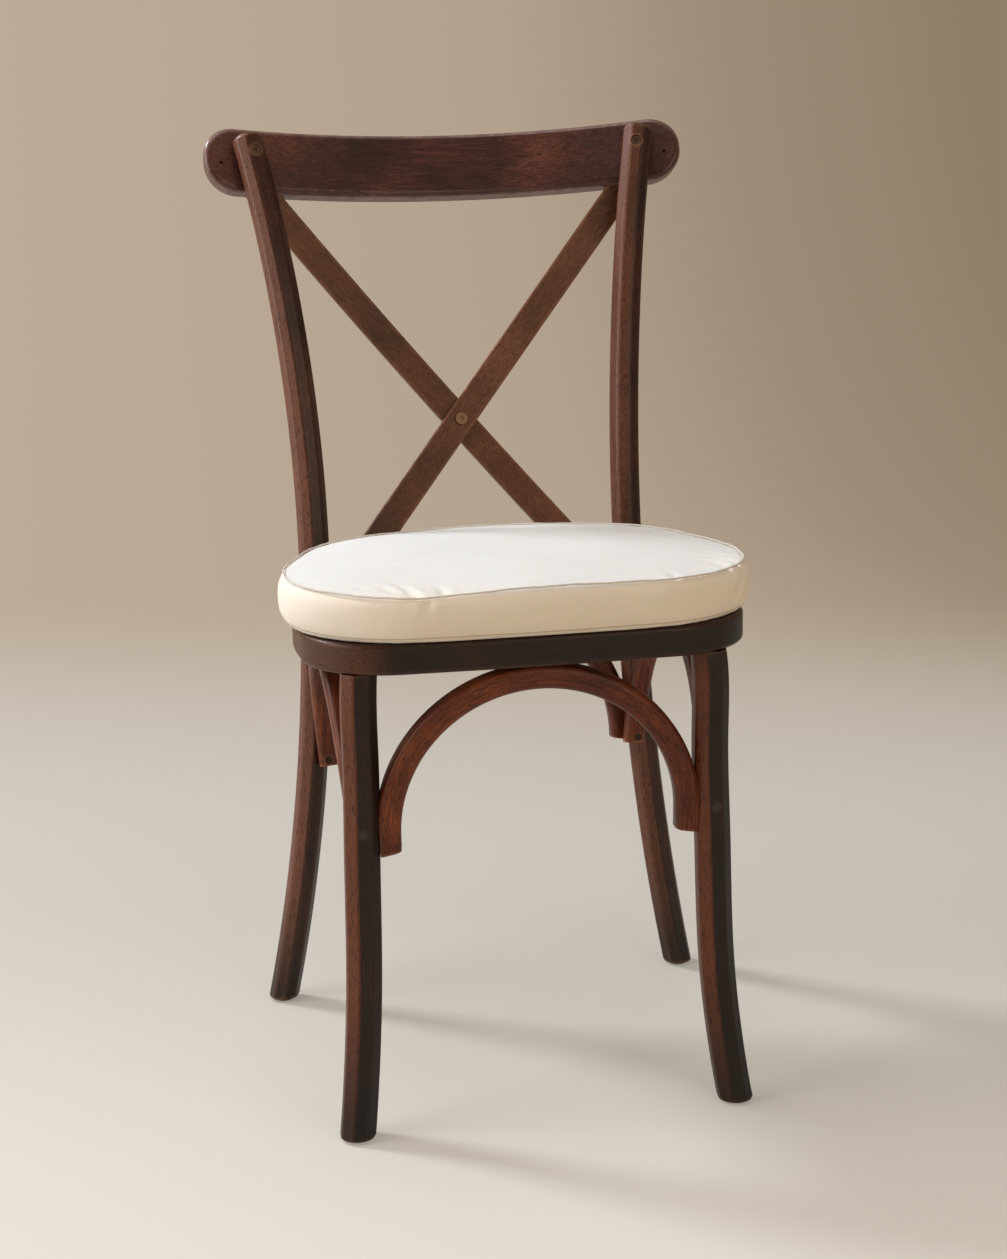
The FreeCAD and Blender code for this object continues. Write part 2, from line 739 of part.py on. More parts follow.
feature("front_leg_dowels", Part.makeCompound([
    rod(front_axis(side, RING_UNDERSIDE) - UP * (size("dowel_length") / 2), UP, size("dowel_length"),
        size("dowel_radius")) for side in SIDES.values()]))

# Build: glides

for name, axis in (("front", front_axis), ("rear", post_axis)):
    for side_name, side in SIDES.items():
        label = f"glide_{name}_{side_name}"
        body = doc.addObject("PartDesign::Body", label)
        height = size("glide_height")
        radius = size("glide_radius")
        nail = size("glide_nail_radius")
        profile = [Vector(0, 0, 0), Vector(radius - height / 2, 0, 0), Vector(radius, height / 2, 0),
                   Vector(radius, height, 0), Vector(nail, height, 0),
                   Vector(nail, height + size("glide_nail_length"), 0),
                   Vector(0, height + size("glide_nail_length"), 0)]
        half_section = sketch_on(body, "XZ_Plane", label + "_profile", polyline(profile))
        turned = body.newObject("PartDesign::Revolution", label + "_turned")
        turned.Profile = half_section
        turned.ReferenceAxis = (half_section, ["V_Axis"])
        turned.Angle = 360.0
        body.Tip = turned
        foot = axis(side, size("glide_height"))
        body.Placement = Placement(Vector(foot.x, foot.y, 0), Rotation())
        body.Label = label
        PIECES[label] = body
doc.recompute()

# Build: seat ring and panel

ring_body = doc.addObject("PartDesign::Body", "ring_bar")
ring_sketch = sketch_on(ring_body, "XY_Plane", "ring_hoop",
                        outline(RING_OUTLINE, 0, 0) + outline(RING_OUTLINE, size("ring_width"), 0))
ring_sketch.setExpression("AttachmentOffset.Base.z", "Sizes.seat_height - Sizes.ring_height")
ring_pad = ring_body.newObject("PartDesign::Pad", "ring_pad")
ring_pad.Profile = ring_sketch
ring_pad.setExpression("Length", "Sizes.ring_height")
doc.recompute()
ledge = size("ring_width") - size("rebate_width")
rebate_sketch = sketch_on(ring_body, "XY_Plane", "ring_rebate_outline", outline(RING_OUTLINE, ledge, 0))
rebate_sketch.setExpression("AttachmentOffset.Base.z", "Sizes.seat_height")
ring_rebate = ring_body.newObject("PartDesign::Pocket", "ring_rebate")
ring_rebate.Profile = rebate_sketch
ring_rebate.setExpression("Length", "Sizes.panel_thickness")
doc.recompute()
rim_curves = [curve for height in (RING_UNDERSIDE, size("seat_height"))
              for curve in outline(RING_OUTLINE, 0, height)]


def on_rim(edge):
    """True for an edge that is one of the curves of the hoop's outer rims."""
    return any(abs(edge.Length - curve.length()) < 0.01 and edge.distToShape(curve.toShape())[0] < 0.01
               and abs(edge.Vertexes[0].Z - edge.Vertexes[-1].Z) < 0.01 for curve in rim_curves)


outer_edges = [f"Edge{index}" for index, edge in enumerate(ring_rebate.Shape.Edges, start=1)
               if on_rim(edge)]
ring_round = ring_body.newObject("PartDesign::Fillet", "ring_round")
ring_round.Base = (ring_rebate, outer_edges)
ring_round.setExpression("Radius", "Sizes.ring_ease")
ring_body.Tip = ring_round
doc.recompute()

ring_cuts = POST_CUTTERS + SLAT_CUTTERS
for side in SIDES.values():
    ring_cuts.append(dowel_bore(side))
    ring_cuts.append(seat_bore(side).fuse(insert_at(*seat_bolts[side], size("seat_bolt_length"),
                                                    size("bore_gap"))))
ring_cuts += [screw_bore(start, direction, size("top_screw_length"), MOUTH)
              for start, direction in top_screws]
ring_cuts += SLAT_BORES
cut_piece("seat_ring", ring_body, ring_cuts)

panel_body = doc.addObject("PartDesign::Body", "seat_panel")
panel_sketch = sketch_on(panel_body, "XY_Plane", "panel_outline",
                         outline(RING_OUTLINE, ledge + size("joint_gap"), 0))
panel_sketch.setExpression("AttachmentOffset.Base.z", "Sizes.seat_height - Sizes.panel_thickness")
panel_pad = panel_body.newObject("PartDesign::Pad", "panel_pad")
panel_pad.Profile = panel_sketch
panel_pad.setExpression("Length", "Sizes.panel_thickness")
panel_body.Tip = panel_pad
PIECES["seat_panel"] = panel_body
doc.recompute()

# Build: crest rail

crest_body = doc.addObject("PartDesign::Body", "crest_bar")
half_length = size("crest_length") / 2
half_height = size("crest_height") / 2
near_radius = crest_bend - size("crest_thickness") / 2
far_radius = crest_bend + size("crest_thickness") / 2
bend_centre = Vector(0, -crest_bend, 0)


def bend_arc(radius, reach):
    """Arc of the rail's bend, out to reach on both sides."""
    drop = math.sqrt(radius ** 2 - reach ** 2)
    return Part.Arc(bend_centre + Vector(reach, drop, 0), bend_centre + Vector(0, radius, 0),
                    bend_centre + Vector(-reach, drop, 0))


near_arc = bend_arc(near_radius, half_length)
far_arc = bend_arc(far_radius, half_length)
band = [near_arc, far_arc, Part.LineSegment(near_arc.StartPoint, far_arc.StartPoint),
        Part.LineSegment(near_arc.EndPoint, far_arc.EndPoint)]
crest_plan = sketch_on(crest_body, "XY_Plane", "crest_plan", band)
crest_pad = crest_body.newObject("PartDesign::Pad", "crest_pad")
crest_pad.Profile = crest_plan
crest_pad.setExpression("Length", "Sizes.crest_height")
crest_pad.Midplane = True
doc.recompute()
end_ease = size("crest_end_radius")
end_corners = [(Vector(half_length, -half_height, 0), end_ease),
               (Vector(half_length, half_height, 0), end_ease),
               (Vector(-half_length, half_height, 0), end_ease),
               (Vector(-half_length, -half_height, 0), end_ease)]
end_outline = outline(end_corners, 0, 0)
margin = size("crest_height")
frame = polyline([Vector(-half_length - margin, -margin, 0), Vector(half_length + margin, -margin, 0),
                  Vector(half_length + margin, margin, 0), Vector(-half_length - margin, margin, 0)])
crest_face = sketch_on(crest_body, "XZ_Plane", "crest_face", end_outline + frame)
crest_ends = crest_body.newObject("PartDesign::Pocket", "crest_ends")
crest_ends.Profile = crest_face
crest_ends.Type = "ThroughAll"
crest_ends.Midplane = True
doc.recompute()


def distance_from_bend(point):
    """Distance of a point from the axis that the rail is bent about."""
    return math.hypot(point.x - bend_centre.x, point.y - bend_centre.y)


def on_face_rim(edge):
    """True for an edge that lies all along the rail's near or far face."""
    first, last = edge.FirstParameter, edge.LastParameter
    points = [edge.valueAt(place) for place in (first, (first + last) / 2, last)]
    reaches = [distance_from_bend(point) for point in points]
    return any(all(abs(reach - radius) < 0.01 for reach in reaches) for radius in (near_radius, far_radius))


long_edges = [f"Edge{index}" for index, edge in enumerate(crest_ends.Shape.Edges, start=1)
              if on_face_rim(edge)]
crest_round = crest_body.newObject("PartDesign::Fillet", "crest_round")
crest_round.Base = (crest_ends, long_edges)
crest_round.setExpression("Radius", "Sizes.crest_ease")
crest_body.Tip = crest_round
crest_body.Placement = Placement(crest_origin, Rotation(Vector(1, 0, 0), -math.degrees(crest_tilt)))
doc.recompute()

pins = []
for side in SIDES.values():
    half = half_length - size("pin_end_inset")
    middle = crest_point(half, -size("pin_drop"))
    lean_in = math.asin(half / crest_bend)
    outward = Vector(side * math.sin(lean_in), 0, 0) + crest_back * math.cos(lean_in)
    start = Vector(side * middle.x, middle.y, middle.z) - outward * (size("crest_thickness") / 2)
    pins.append((start, outward))

crest_cuts = list(SLAT_CUTTERS)
for side in SIDES.values():
    start, direction = crest_bolts[side]
    crest_cuts.append(crest_bore(side).fuse(insert_at(start, direction, size("crest_bolt_length"),
                                                      size("bore_gap"))))
for start, outward in pins:
    crest_cuts.append(rod(start - outward, outward, size("pin_length") + 1 + size("bore_gap"),
                          size("pin_radius") + size("bore_gap")))
cut_piece("crest_rail", crest_body, crest_cuts)
feature("crest_pins", Part.makeCompound([rod(start, outward, size("pin_length"), size("pin_radius"))
                                         for start, outward in pins]))

# Build: bolts and inserts

feature("crest_bolts", Part.makeCompound([
    bolt_solid(start, direction, size("crest_bolt_length"), size("bolt_head_radius"),
               size("bolt_head_height"), size("bolt_radius")) for start, direction in crest_bolts.values()]))
feature("seat_bolts", Part.makeCompound([
    bolt_solid(start, direction, size("seat_bolt_length"), size("bolt_head_radius"),
               size("bolt_head_height"), size("bolt_radius")) for start, direction in seat_bolts.values()]))


def insert_solid(start, direction, length):
    """Threaded insert, as a sleeve round the end of its bolt."""
    bore = rod(start, direction, length + size("bore_gap"), size("bolt_radius") + size("bore_gap"))
    return insert_at(start, direction, length).cut(bore)


feature("crest_inserts", Part.makeCompound([insert_solid(*place, size("crest_bolt_length"))
                                            for place in crest_bolts.values()]))
feature("seat_inserts", Part.makeCompound([insert_solid(*place, size("seat_bolt_length"))
                                           for place in seat_bolts.values()]))

# Build: crossed slats with their bolt and screws

cross_bore = rod(cross_front - slat_normal * size("slat_thickness"), slat_normal,
                 cross_grip + 2 * size("slat_thickness"), size("bolt_radius") + size("bore_gap"))
SLAT_STATIONS = (0.0, 0.25, 0.5, 0.75, 1.0)


def slat_solid(side, layer):
    """A bowed slat: a loft through eased sections along its length."""
    half_thick = size("slat_thickness") / 2
    half_wide = size("slat_width") / 2
    ease = size("slat_ease")
    corners = [(Vector(half_thick, -half_wide, 0), ease), (Vector(half_thick, half_wide, 0), ease),
               (Vector(-half_thick, half_wide, 0), ease), (Vector(-half_thick, -half_wide, 0), ease)]
    across = Rotation(Vector(0, 1, 0), Vector(0, 0, 1), Vector(1, 0, 0), "XYZ")
    sections = []
    for share in SLAT_STATIONS:
        section = wire_of(outline(corners, 0, 0))
        bow = 4 * share * (1 - share) * slat_bow(layer)
        section.Placement = Placement(Vector(share * slat_length, bow, 0), across)
        sections.append(section)
    strip = Part.makeLoft(sections, True, False)
    strip.Placement = slat_placement(side)
    return strip


for label, (side, layer) in SLATS.items():
    strip = slat_solid(side, layer)
    feature(label, strip.cut([cross_bore] + reaching(SLAT_BORES, strip)))

cross_bolt = bolt_solid(cross_front, slat_normal, cross_grip + size("cross_nut_height") / 2,
                        size("cross_head_radius"), size("cross_head_height"), size("bolt_radius"))
feature("cross_bolt", cross_bolt)
nut_blank = rod(cross_back, slat_normal, size("cross_nut_height"), size("cross_nut_radius"))
nut_bore = rod(cross_back, slat_normal, size("cross_nut_height") / 2 + size("bore_gap"),
               size("bolt_radius") + size("bore_gap"))
feature("cross_nut", nut_blank.cut(nut_bore))
feature("slat_screws", Part.makeCompound([screw_solid(start, direction, size("slat_screw_length"))
                                          for start, direction in slat_screws]))

# Build: arches and their screws

for name in ARCHES:
    cutters = END_CUTTERS + [seat_box] + ALL_SCREW_BORES
    cut_piece(name, arch_blanks[name], cutters + end_bevels(name))
feature("arch_end_screws", Part.makeCompound([screw_solid(start, direction, size("end_screw_length"))
                                              for start, direction in end_screws]))
feature("leg_screws", Part.makeCompound([screw_solid(start, direction, size("leg_screw_length"))
                                         for start, direction in leg_screws]))
feature("arch_top_screws", Part.makeCompound([screw_solid(start, direction, size("top_screw_length"))
                                              for start, direction in top_screws]))

# Build: loose cushion of foam in a sewn cover

cushion_base = size("seat_height") + size("rest_gap")
seam_low = cushion_base + size("fabric")
seam_high = cushion_base + size("boxing_height")
# Share of the crown's rise, and the share of the outline that is left there
CROWN = ((0.0, 1.0), (0.5, 0.93), (0.8, 0.8), (0.95, 0.6), (1.0, 0.35))
# Share of the boxing's height, and the share of its swell there
BOXING = ((0.0, 0.0), (0.12, 0.6), (0.5, 1.0), (0.86, 0.62), (1.0, 0.0))


def shrunk(corners, share):
    """An outline drawn in towards the middle of the seat."""
    middle = Vector(0, size("chair_shift") - size("post_foot_back"), 0)
    return [(middle + (point - middle) * share, radius * share) for point, radius in corners]


def crown_solid(grow):
    """Crowned top of the cushion, above the upper seam, grown outwards."""
    rise = size("crown_height") + grow
    inset = size("seam_inset") - grow
    sections = [wire_of(outline(shrunk(CUSHION_OUTLINE, left), inset, seam_high + rise * share))
                for share, left in CROWN]
    return Part.makeLoft(sections, True, False)


def boxing_solid(grow):
    """Sides of the cushion between its two seams, a little full in the middle, grown outwards."""
    swell = size("boxing_bulge") + size("seam_inset")
    inset = size("seam_inset") - grow
    sections = [wire_of(outline(CUSHION_OUTLINE, inset - swell * share,
                                seam_low + (seam_high - seam_low) * level))
                for level, share in BOXING]
    return Part.makeLoft(sections, True, False)


fabric = size("fabric")
feature("cushion_foam", boxing_solid(-fabric).fuse(crown_solid(-fabric)).removeSplitter())
feature("cushion_top_panel", crown_solid(0).cut(crown_solid(-fabric)))
feature("cushion_boxing", boxing_solid(0).cut(boxing_solid(-fabric)))
bottom_face = Part.Face(wire_of(outline(CUSHION_OUTLINE, size("seam_inset"), cushion_base)))
feature("cushion_bottom_panel", bottom_face.extrude(UP * fabric))

# The welt is a thin cord in a fold of cloth that sits on the upper seam, a little to its outside.
welt_radius = size("welt_radius")
welt_lift = welt_radius + size("welt_gap")
welt_lean = math.radians(20)
welt_path = outline(CUSHION_OUTLINE, size("seam_inset") - welt_lift * math.sin(welt_lean),
                    seam_high + welt_lift * math.cos(welt_lean))
welt_heading = welt_path[0].tangent(welt_path[0].FirstParameter)[0]
welt_section = Part.Wire([Part.Circle(welt_path[0].StartPoint, welt_heading, welt_radius).toShape()])
feature("cushion_welt", wire_of(welt_path).makePipeShell([welt_section], True, False))

# Check every object, then write one file for each sub-part

doc.recompute()
for item in doc.Objects:
    if "Invalid" in item.State or "Error" in item.State:
        raise RuntimeError(f"{item.Label} failed to build: {item.State}")
os.makedirs("parts", exist_ok=True)
for label, piece in PIECES.items():
    if piece.Shape.isNull() or not piece.Shape.isValid():
        raise RuntimeError(f"{label} has no valid shape")
for label, piece in PIECES.items():
    piece.Shape.exportStep(f"parts/{label}.step")
    print(label, len(piece.Shape.Solids), "solid(s)", round(piece.Shape.Volume), "mm3")
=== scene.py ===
"""Cross back dining chair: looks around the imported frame.

Metres, in the frame of the part: +Z up, the chair's front faces -Y, the floor is at Z = 0.
"""
import math

import bmesh
import bpy
import numpy as np
from mathutils import Matrix, Vector


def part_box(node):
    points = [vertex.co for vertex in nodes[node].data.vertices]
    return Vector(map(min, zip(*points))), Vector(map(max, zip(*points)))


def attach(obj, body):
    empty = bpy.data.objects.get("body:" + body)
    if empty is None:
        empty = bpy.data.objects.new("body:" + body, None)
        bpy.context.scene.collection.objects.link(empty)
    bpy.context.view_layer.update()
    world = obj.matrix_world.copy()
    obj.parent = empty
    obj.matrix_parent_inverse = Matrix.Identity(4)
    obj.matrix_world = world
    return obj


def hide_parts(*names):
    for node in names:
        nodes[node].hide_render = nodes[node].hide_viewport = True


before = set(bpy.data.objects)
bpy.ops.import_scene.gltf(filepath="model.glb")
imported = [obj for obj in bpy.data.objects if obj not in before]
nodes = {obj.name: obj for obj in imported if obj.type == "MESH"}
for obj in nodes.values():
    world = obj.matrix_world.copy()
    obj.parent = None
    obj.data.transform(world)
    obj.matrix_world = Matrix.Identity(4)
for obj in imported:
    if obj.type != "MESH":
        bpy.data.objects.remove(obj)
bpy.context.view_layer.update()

# The camera stands a little left of the chair's front, at chest height, with a short telephoto lens.
# Its place, turn and lens were fitted to the feet and the pairs of legs in a 1007 x 1259 picture.
CAMERA_PLACE = (-0.3471, -1.9990, 0.8582)
CAMERA_AZIMUTH = -0.17751
CAMERA_ELEVATION = 0.22179
CAMERA_ROLL = -0.02492
PICTURE_HEIGHT = 1259
FOCAL_PIXELS = 2150
FILM_HEIGHT = 36.0

back = Vector((math.sin(CAMERA_AZIMUTH) * math.cos(CAMERA_ELEVATION),
               -math.cos(CAMERA_AZIMUTH) * math.cos(CAMERA_ELEVATION),
               math.sin(CAMERA_ELEVATION)))
level_right = Vector((math.cos(CAMERA_AZIMUTH), math.sin(CAMERA_AZIMUTH), 0))
level_up = back.cross(level_right)
right = level_right * math.cos(CAMERA_ROLL) + level_up * math.sin(CAMERA_ROLL)
up = back.cross(right)
camera = bpy.data.objects.new("camera", bpy.data.cameras.new("camera"))
bpy.context.scene.collection.objects.link(camera)
camera.data.sensor_fit = "VERTICAL"
camera.data.sensor_height = FILM_HEIGHT
camera.data.lens = FOCAL_PIXELS / PICTURE_HEIGHT * FILM_HEIGHT
turn = Matrix((right, up, back)).transposed().to_4x4()
camera.matrix_world = Matrix.Translation(CAMERA_PLACE) @ turn
bpy.context.scene.camera = camera
bpy.context.scene.view_settings.view_transform = "Standard"


# Studio sweep: one sheet of matte paper, bent up in a wide curve so that no corner shows. The camera and
# mirrored light see it glow in painted tones: pale on the floor and painted brighter towards the front left,
# a painted pool of light, and taupe where it rises behind the chair and darker towards the right, painted
# fall-off of light. The glow also lifts the shadows on the floor with painted light, and what the floor
# throws back on the chair is held down, as in a dim room.
def linear(colour):
    """Linear red, green, blue and alpha of an sRGB hex colour."""
    channels = np.array([int(colour[step:step + 2], 16) / 255 for step in (1, 3, 5)])
    curve = np.where(channels <= 0.04045, channels / 12.92, ((channels + 0.055) / 1.055) ** 2.4)
    return (*curve.tolist(), 1.0)


def add_node(tree, kind, links=(), **settings):
    """Adds a shader node, sets its properties or inputs, and links (input, source socket) pairs to it."""
    node = tree.nodes.new(kind)
    for name, value in settings.items():
        if hasattr(node, name):
            setattr(node, name, value)
        else:
            node.inputs[name.replace("_", " ")].default_value = value
    for name, source in links:
        tree.links.new(source, node.inputs[name])
    return node


def work_out(tree, operation, *terms, **settings):
    """Result of a math operation on its terms, each a number or a socket."""
    node = add_node(tree, "ShaderNodeMath", operation=operation, **settings)
    for socket, term in zip(node.inputs, terms):
        if isinstance(term, (int, float)):
            socket.default_value = term
        else:
            tree.links.new(term, socket)
    return node.outputs[0]


def ramp(tree, value, start, end, low=0.0, high=1.0, **settings):
    """Number that goes from low to high while the value goes from start to end, and stays there beyond."""
    node = add_node(tree, "ShaderNodeMapRange", [("Value", value)], From_Min=start, From_Max=end,
                    To_Min=low, To_Max=high, **settings)
    return node.outputs["Result"]


def tone_ramp(tree, value, tones):
    """Colour that runs through (stop, hex colour) pairs, the first at 0 and the last at 1."""
    node = add_node(tree, "ShaderNodeValToRGB", [("Fac", value)])
    node.color_ramp.elements[0].color = linear(tones[0][1])
    node.color_ramp.elements[1].color = linear(tones[-1][1])
    for stop, colour in tones[1:-1]:
        node.color_ramp.elements.new(stop).color = linear(colour)
    return node.outputs["Color"]


def colour_mix(tree, factor, low, high):
    """Colour that runs from low at factor 0 to high at factor 1, each a hex colour or a socket."""
    node = add_node(tree, "ShaderNodeMix", [("Factor", factor)], data_type="RGBA")
    # Inputs 6 and 7 and output 2 are the node's colour sockets.
    for socket, tone in ((node.inputs[6], low), (node.inputs[7], high)):
        if isinstance(tone, str):
            socket.default_value = linear(tone)
        else:
            tree.links.new(tone, socket)
    return node.outputs[2]


def new_material(name):
    """An empty material with its output node; returns the material, its tree and the surface input."""
    material = bpy.data.materials.new(name)
    material.use_nodes = True
    material.node_tree.nodes.clear()
    output = material.node_tree.nodes.new("ShaderNodeOutputMaterial")
    return material, material.node_tree, output.inputs["Surface"]


def grid_piece(name, rows, closed_u=False):
    """Mesh object from an array of points, shape (rows, columns, 3), with a quad between neighbours."""
    count_v, count_u = rows.shape[:2]
    index = np.arange(count_v * count_u).reshape(count_v, count_u)
    if closed_u:
        index = np.concatenate([index, index[:, :1]], axis=1)
    quads = np.stack([index[:-1, :-1], index[:-1, 1:], index[1:, 1:], index[1:, :-1]], axis=-1)
    mesh = bpy.data.meshes.new(name)
    mesh.from_pydata(rows.reshape(-1, 3).tolist(), [], quads.reshape(-1, 4).tolist())
    mesh.polygons.foreach_set("use_smooth", np.ones(len(mesh.polygons), bool))
    piece = bpy.data.objects.new(name, mesh)
    bpy.context.scene.collection.objects.link(piece)
    return piece


STUDIO_REACH = 6.0
SWEEP_BACK = 2.2
SWEEP_RADIUS = 1.6
SWEEP_HEIGHT = 3.4
SWEEP_COLUMNS = 7
BEND_POINTS = 24
FLOOR_COLOUR = "#d1cdc4"
# Painted light: the floor is painted brighter towards the front left.
FLOOR_FRONT_PAINTED_LIGHT = "#e8e3d8"
FLOOR_BOUNCE = "#bbb2a5"
FLOOR_LIFT = 0.34
FRONT_START = 0.35
FRONT_FULL = -0.65
# Painted fall-off of light: the wall is painted darker towards the right.
WALL_PAINTED_FALLOFF_TONES = ((0.0, "#bdac99"), (0.5, "#b2a18d"), (0.73, "#9d8c77"), (1.0, "#8f7f69"))
WALL_LEFT = -0.6
WALL_RIGHT = 2.0
SLANT = 0.3


def sweep_rows():
    """The paper's profile, floor, quarter circle and wall, carried straight across the studio."""
    bend = np.linspace(0, np.pi / 2, BEND_POINTS)
    rounded = SWEEP_BACK + SWEEP_RADIUS * np.sin(bend)
    depth = np.concatenate([[-STUDIO_REACH, 0.0], rounded, [SWEEP_BACK + SWEEP_RADIUS]])
    height = np.concatenate([[0.0, 0.0], SWEEP_RADIUS * (1 - np.cos(bend)), [SWEEP_HEIGHT]])
    across = np.linspace(-STUDIO_REACH, STUDIO_REACH, SWEEP_COLUMNS)
    return np.stack(np.broadcast_arrays(across[:, None], depth[None, :], height[None, :]), axis=-1)


sweep = grid_piece("studio_sweep", sweep_rows())
paper, tree, surface = new_material("backdrop_paper_painted_glow")
place = add_node(tree, "ShaderNodeTexCoord").outputs["Object"]
split = add_node(tree, "ShaderNodeSeparateXYZ", [("Vector", place)]).outputs
wall_painted_falloff = tone_ramp(tree, ramp(tree, split["X"], WALL_LEFT, WALL_RIGHT), WALL_PAINTED_FALLOFF_TONES)
depth = work_out(tree, "MULTIPLY_ADD", split["X"], SLANT, split["Y"])
front = ramp(tree, depth, FRONT_START, FRONT_FULL, interpolation_type="SMOOTHSTEP")
floor_tone = colour_mix(tree, front, FLOOR_COLOUR, FLOOR_FRONT_PAINTED_LIGHT)
ray = add_node(tree, "ShaderNodeLightPath").outputs
seen = work_out(tree, "MAXIMUM", ray["Is Camera Ray"], ray["Is Glossy Ray"])
lit_tone = colour_mix(tree, seen, FLOOR_BOUNCE, floor_tone)
matte = add_node(tree, "ShaderNodeBsdfPrincipled", [("Base Color", lit_tone)], Roughness=0.9,
                 Specular_IOR_Level=0.1)
rise = ramp(tree, depth, 0.0, SWEEP_BACK, interpolation_type="SMOOTHSTEP")
painted_glow_tone = colour_mix(tree, rise, floor_tone, wall_painted_falloff)
# The glow paints these tones for the camera and mirrored light, and so paints light into the floor's shadows.
glow = add_node(tree, "ShaderNodeEmission", [("Color", painted_glow_tone)])
share = work_out(tree, "MULTIPLY", ramp(tree, rise, 0.0, 1.0, FLOOR_LIFT), seen)
paper_look = add_node(tree, "ShaderNodeMixShader", [(0, share), (1, matte.outputs["BSDF"]),
                                                    (2, glow.outputs["Emission"])])
tree.links.new(paper_look.outputs["Shader"], surface)
sweep.data.materials.append(paper)

# Lamps: a key from high on the left and behind, whose shadows run right and forward, a wide window at the
# left that lights the left facets of legs and posts, a ceiling light that draws a line along upper edges,
# a weak warm light from the room in front, and a dim warm surround.
AIM = (0.0, 0.0, 0.45)
LAMPS = (
    # name, place, width in metres, watts and colour
    ("key", (-3.4, 2.55, 4.15), 1.0, 205.0, "#f2f6ff"),
    ("window", (-2.8, -0.45, 1.4), 1.8, 40.0, "#ffffff"),
    ("ceiling", (-0.3, 0.1, 3.3), 1.2, 15.0, "#f4f6ff"),
    ("room", (1.4, -3.2, 1.5), 2.4, 32.0, "#ffe3c4"),
)
SURROUND_COLOUR = "#ffecd8"
SURROUND_STRENGTH = 0.26
for name, spot, width, power, colour in LAMPS:
    lamp = bpy.data.objects.new(name, bpy.data.lights.new(name, "AREA"))
    bpy.context.scene.collection.objects.link(lamp)
    lamp.data.size = width
    lamp.data.energy = power
    lamp.data.color = linear(colour)[:3]
    lamp.location = spot
    lamp.rotation_euler = (Vector(AIM) - Vector(spot)).to_track_quat("-Z", "Y").to_euler()
world = bpy.data.worlds.new("studio")
bpy.context.scene.world = world
world.use_nodes = True
surround = world.node_tree.nodes["Background"].inputs
surround["Color"].default_value = linear(SURROUND_COLOUR)
surround["Strength"].default_value = SURROUND_STRENGTH

# Front legs, dowelled into the seat, and rear posts, bolted to it: bent beech, as is all the wood that shows,
# stained dark walnut and sprayed with satin lacquer. The grain shows as fine streaks along each piece, and
# the stain lies unevenly. Edges are painted paler, partly as wear and partly as painted highlight. Faces that
# look left are painted lighter, as painted light from the window at the left, and the wood grows darker
# towards the floor.
GRAIN_WIDTH_MM = 1.6
GRAIN_LENGTH_MM = 60.0
PORE_WIDTH_MM = 0.7
PORE_LENGTH_MM = 9.0
PORE_BOTTOM = 0.33
PORE_RIM = 0.42
MOTTLE_MM = 70.0
STAIN_DEEP = 0.62
STAIN_THIN = 1.4
# Faces that look left by these parts of a normal are a little and fully painted lighter: painted light from
# the window at the left.
LEFT_LIGHT_START = -0.05
LEFT_LIGHT_FULL = -0.45
# Below FOOT_UNDARKENED the wood grows darker towards the floor, fully at FOOT_DARK.
FOOT_UNDARKENED = 0.13
FOOT_DARK = 0.015
FOOT_DARKENING_TONE = "#130e0b"
FOOT_DARKENING_SHARE = 0.85
# Paler edges, partly wear and partly painted highlight, start and are full where an edge's averaged normal
# and the face's own have these cosines.
EDGE_MM = 4.0
EDGE_START = 0.994
EDGE_FULL = 0.94
# The same for a board, by the part of its normal that looks to the front or the back.
ROUNDING_START = 0.93
ROUNDING_FULL = 0.6
ROUNDING_WEAR_AND_HIGHLIGHT = 0.75
TOP_START = 0.45
TOP_FULL = 0.1
TOP_WEAR_AND_HIGHLIGHT = 0.2
EDGE_WEAR_AND_HIGHLIGHT = "#9c6d50"
RUBS_PER_METRE = 90.0
RUB_NONE = 0.15
RUB_FULL = 0.7
GLOSSIEST = 0.38
DULLEST = 0.54
GRAIN_RELIEF = 0.0004


def noise(tree, place, **settings):
    """Value of a soft noise at a place, about 0 to 1."""
    return add_node(tree, "ShaderNodeTexNoise", [("Vector", place)], **settings).outputs["Fac"]


def long_noise(tree, place, width_mm, length_mm, **settings):
    """Noise whose spots are width_mm wide and length_mm long, with their length along the place's Z."""
    scale = (1000 / width_mm, 1000 / width_mm, 1000 / length_mm)
    fitted = add_node(tree, "ShaderNodeMapping", [("Vector", place)], Scale=scale).outputs[0]
    return noise(tree, fitted, Scale=1.0, **settings)


def painted_left_light_and_foot_darkening(tree, coordinates, stain, thinness, left_lit):
    """The stain mixed towards the left-lit tone on faces that look left, and most where it lies thin: painted
    light from the window at the left. Then it is mixed towards a darker tone near the floor."""
    leftward = add_node(tree, "ShaderNodeSeparateXYZ", [("Vector", coordinates["Normal"])]).outputs["X"]
    # Painted light: faces that look left are painted in the lighter tone.
    painted_left_light = ramp(tree, leftward, LEFT_LIGHT_START, LEFT_LIGHT_FULL)
    left_light_share = work_out(tree, "MULTIPLY", painted_left_light, thinness, use_clamp=True)
    height = add_node(tree, "ShaderNodeSeparateXYZ", [("Vector", coordinates["Object"])]).outputs["Z"]
    foot_darkening = ramp(tree, height, FOOT_UNDARKENED, FOOT_DARK, high=FOOT_DARKENING_SHARE)
    return colour_mix(tree, foot_darkening, colour_mix(tree, left_light_share, stain, left_lit), FOOT_DARKENING_TONE)


def bar_edge(tree):
    """Wear and painted highlight of a bar, close to its edges alone: it grows as the normal averaged over
    EDGE_MM turns away from the face's own."""
    averaged = add_node(tree, "ShaderNodeBevel", Radius=EDGE_MM / 1000, samples=4).outputs[0]
    own = add_node(tree, "ShaderNodeNewGeometry").outputs["Normal"]
    cosine = add_node(tree, "ShaderNodeVectorMath", [(0, averaged), (1, own)], operation="DOT_PRODUCT")
    return ramp(tree, cosine.outputs["Value"], EDGE_START, EDGE_FULL)


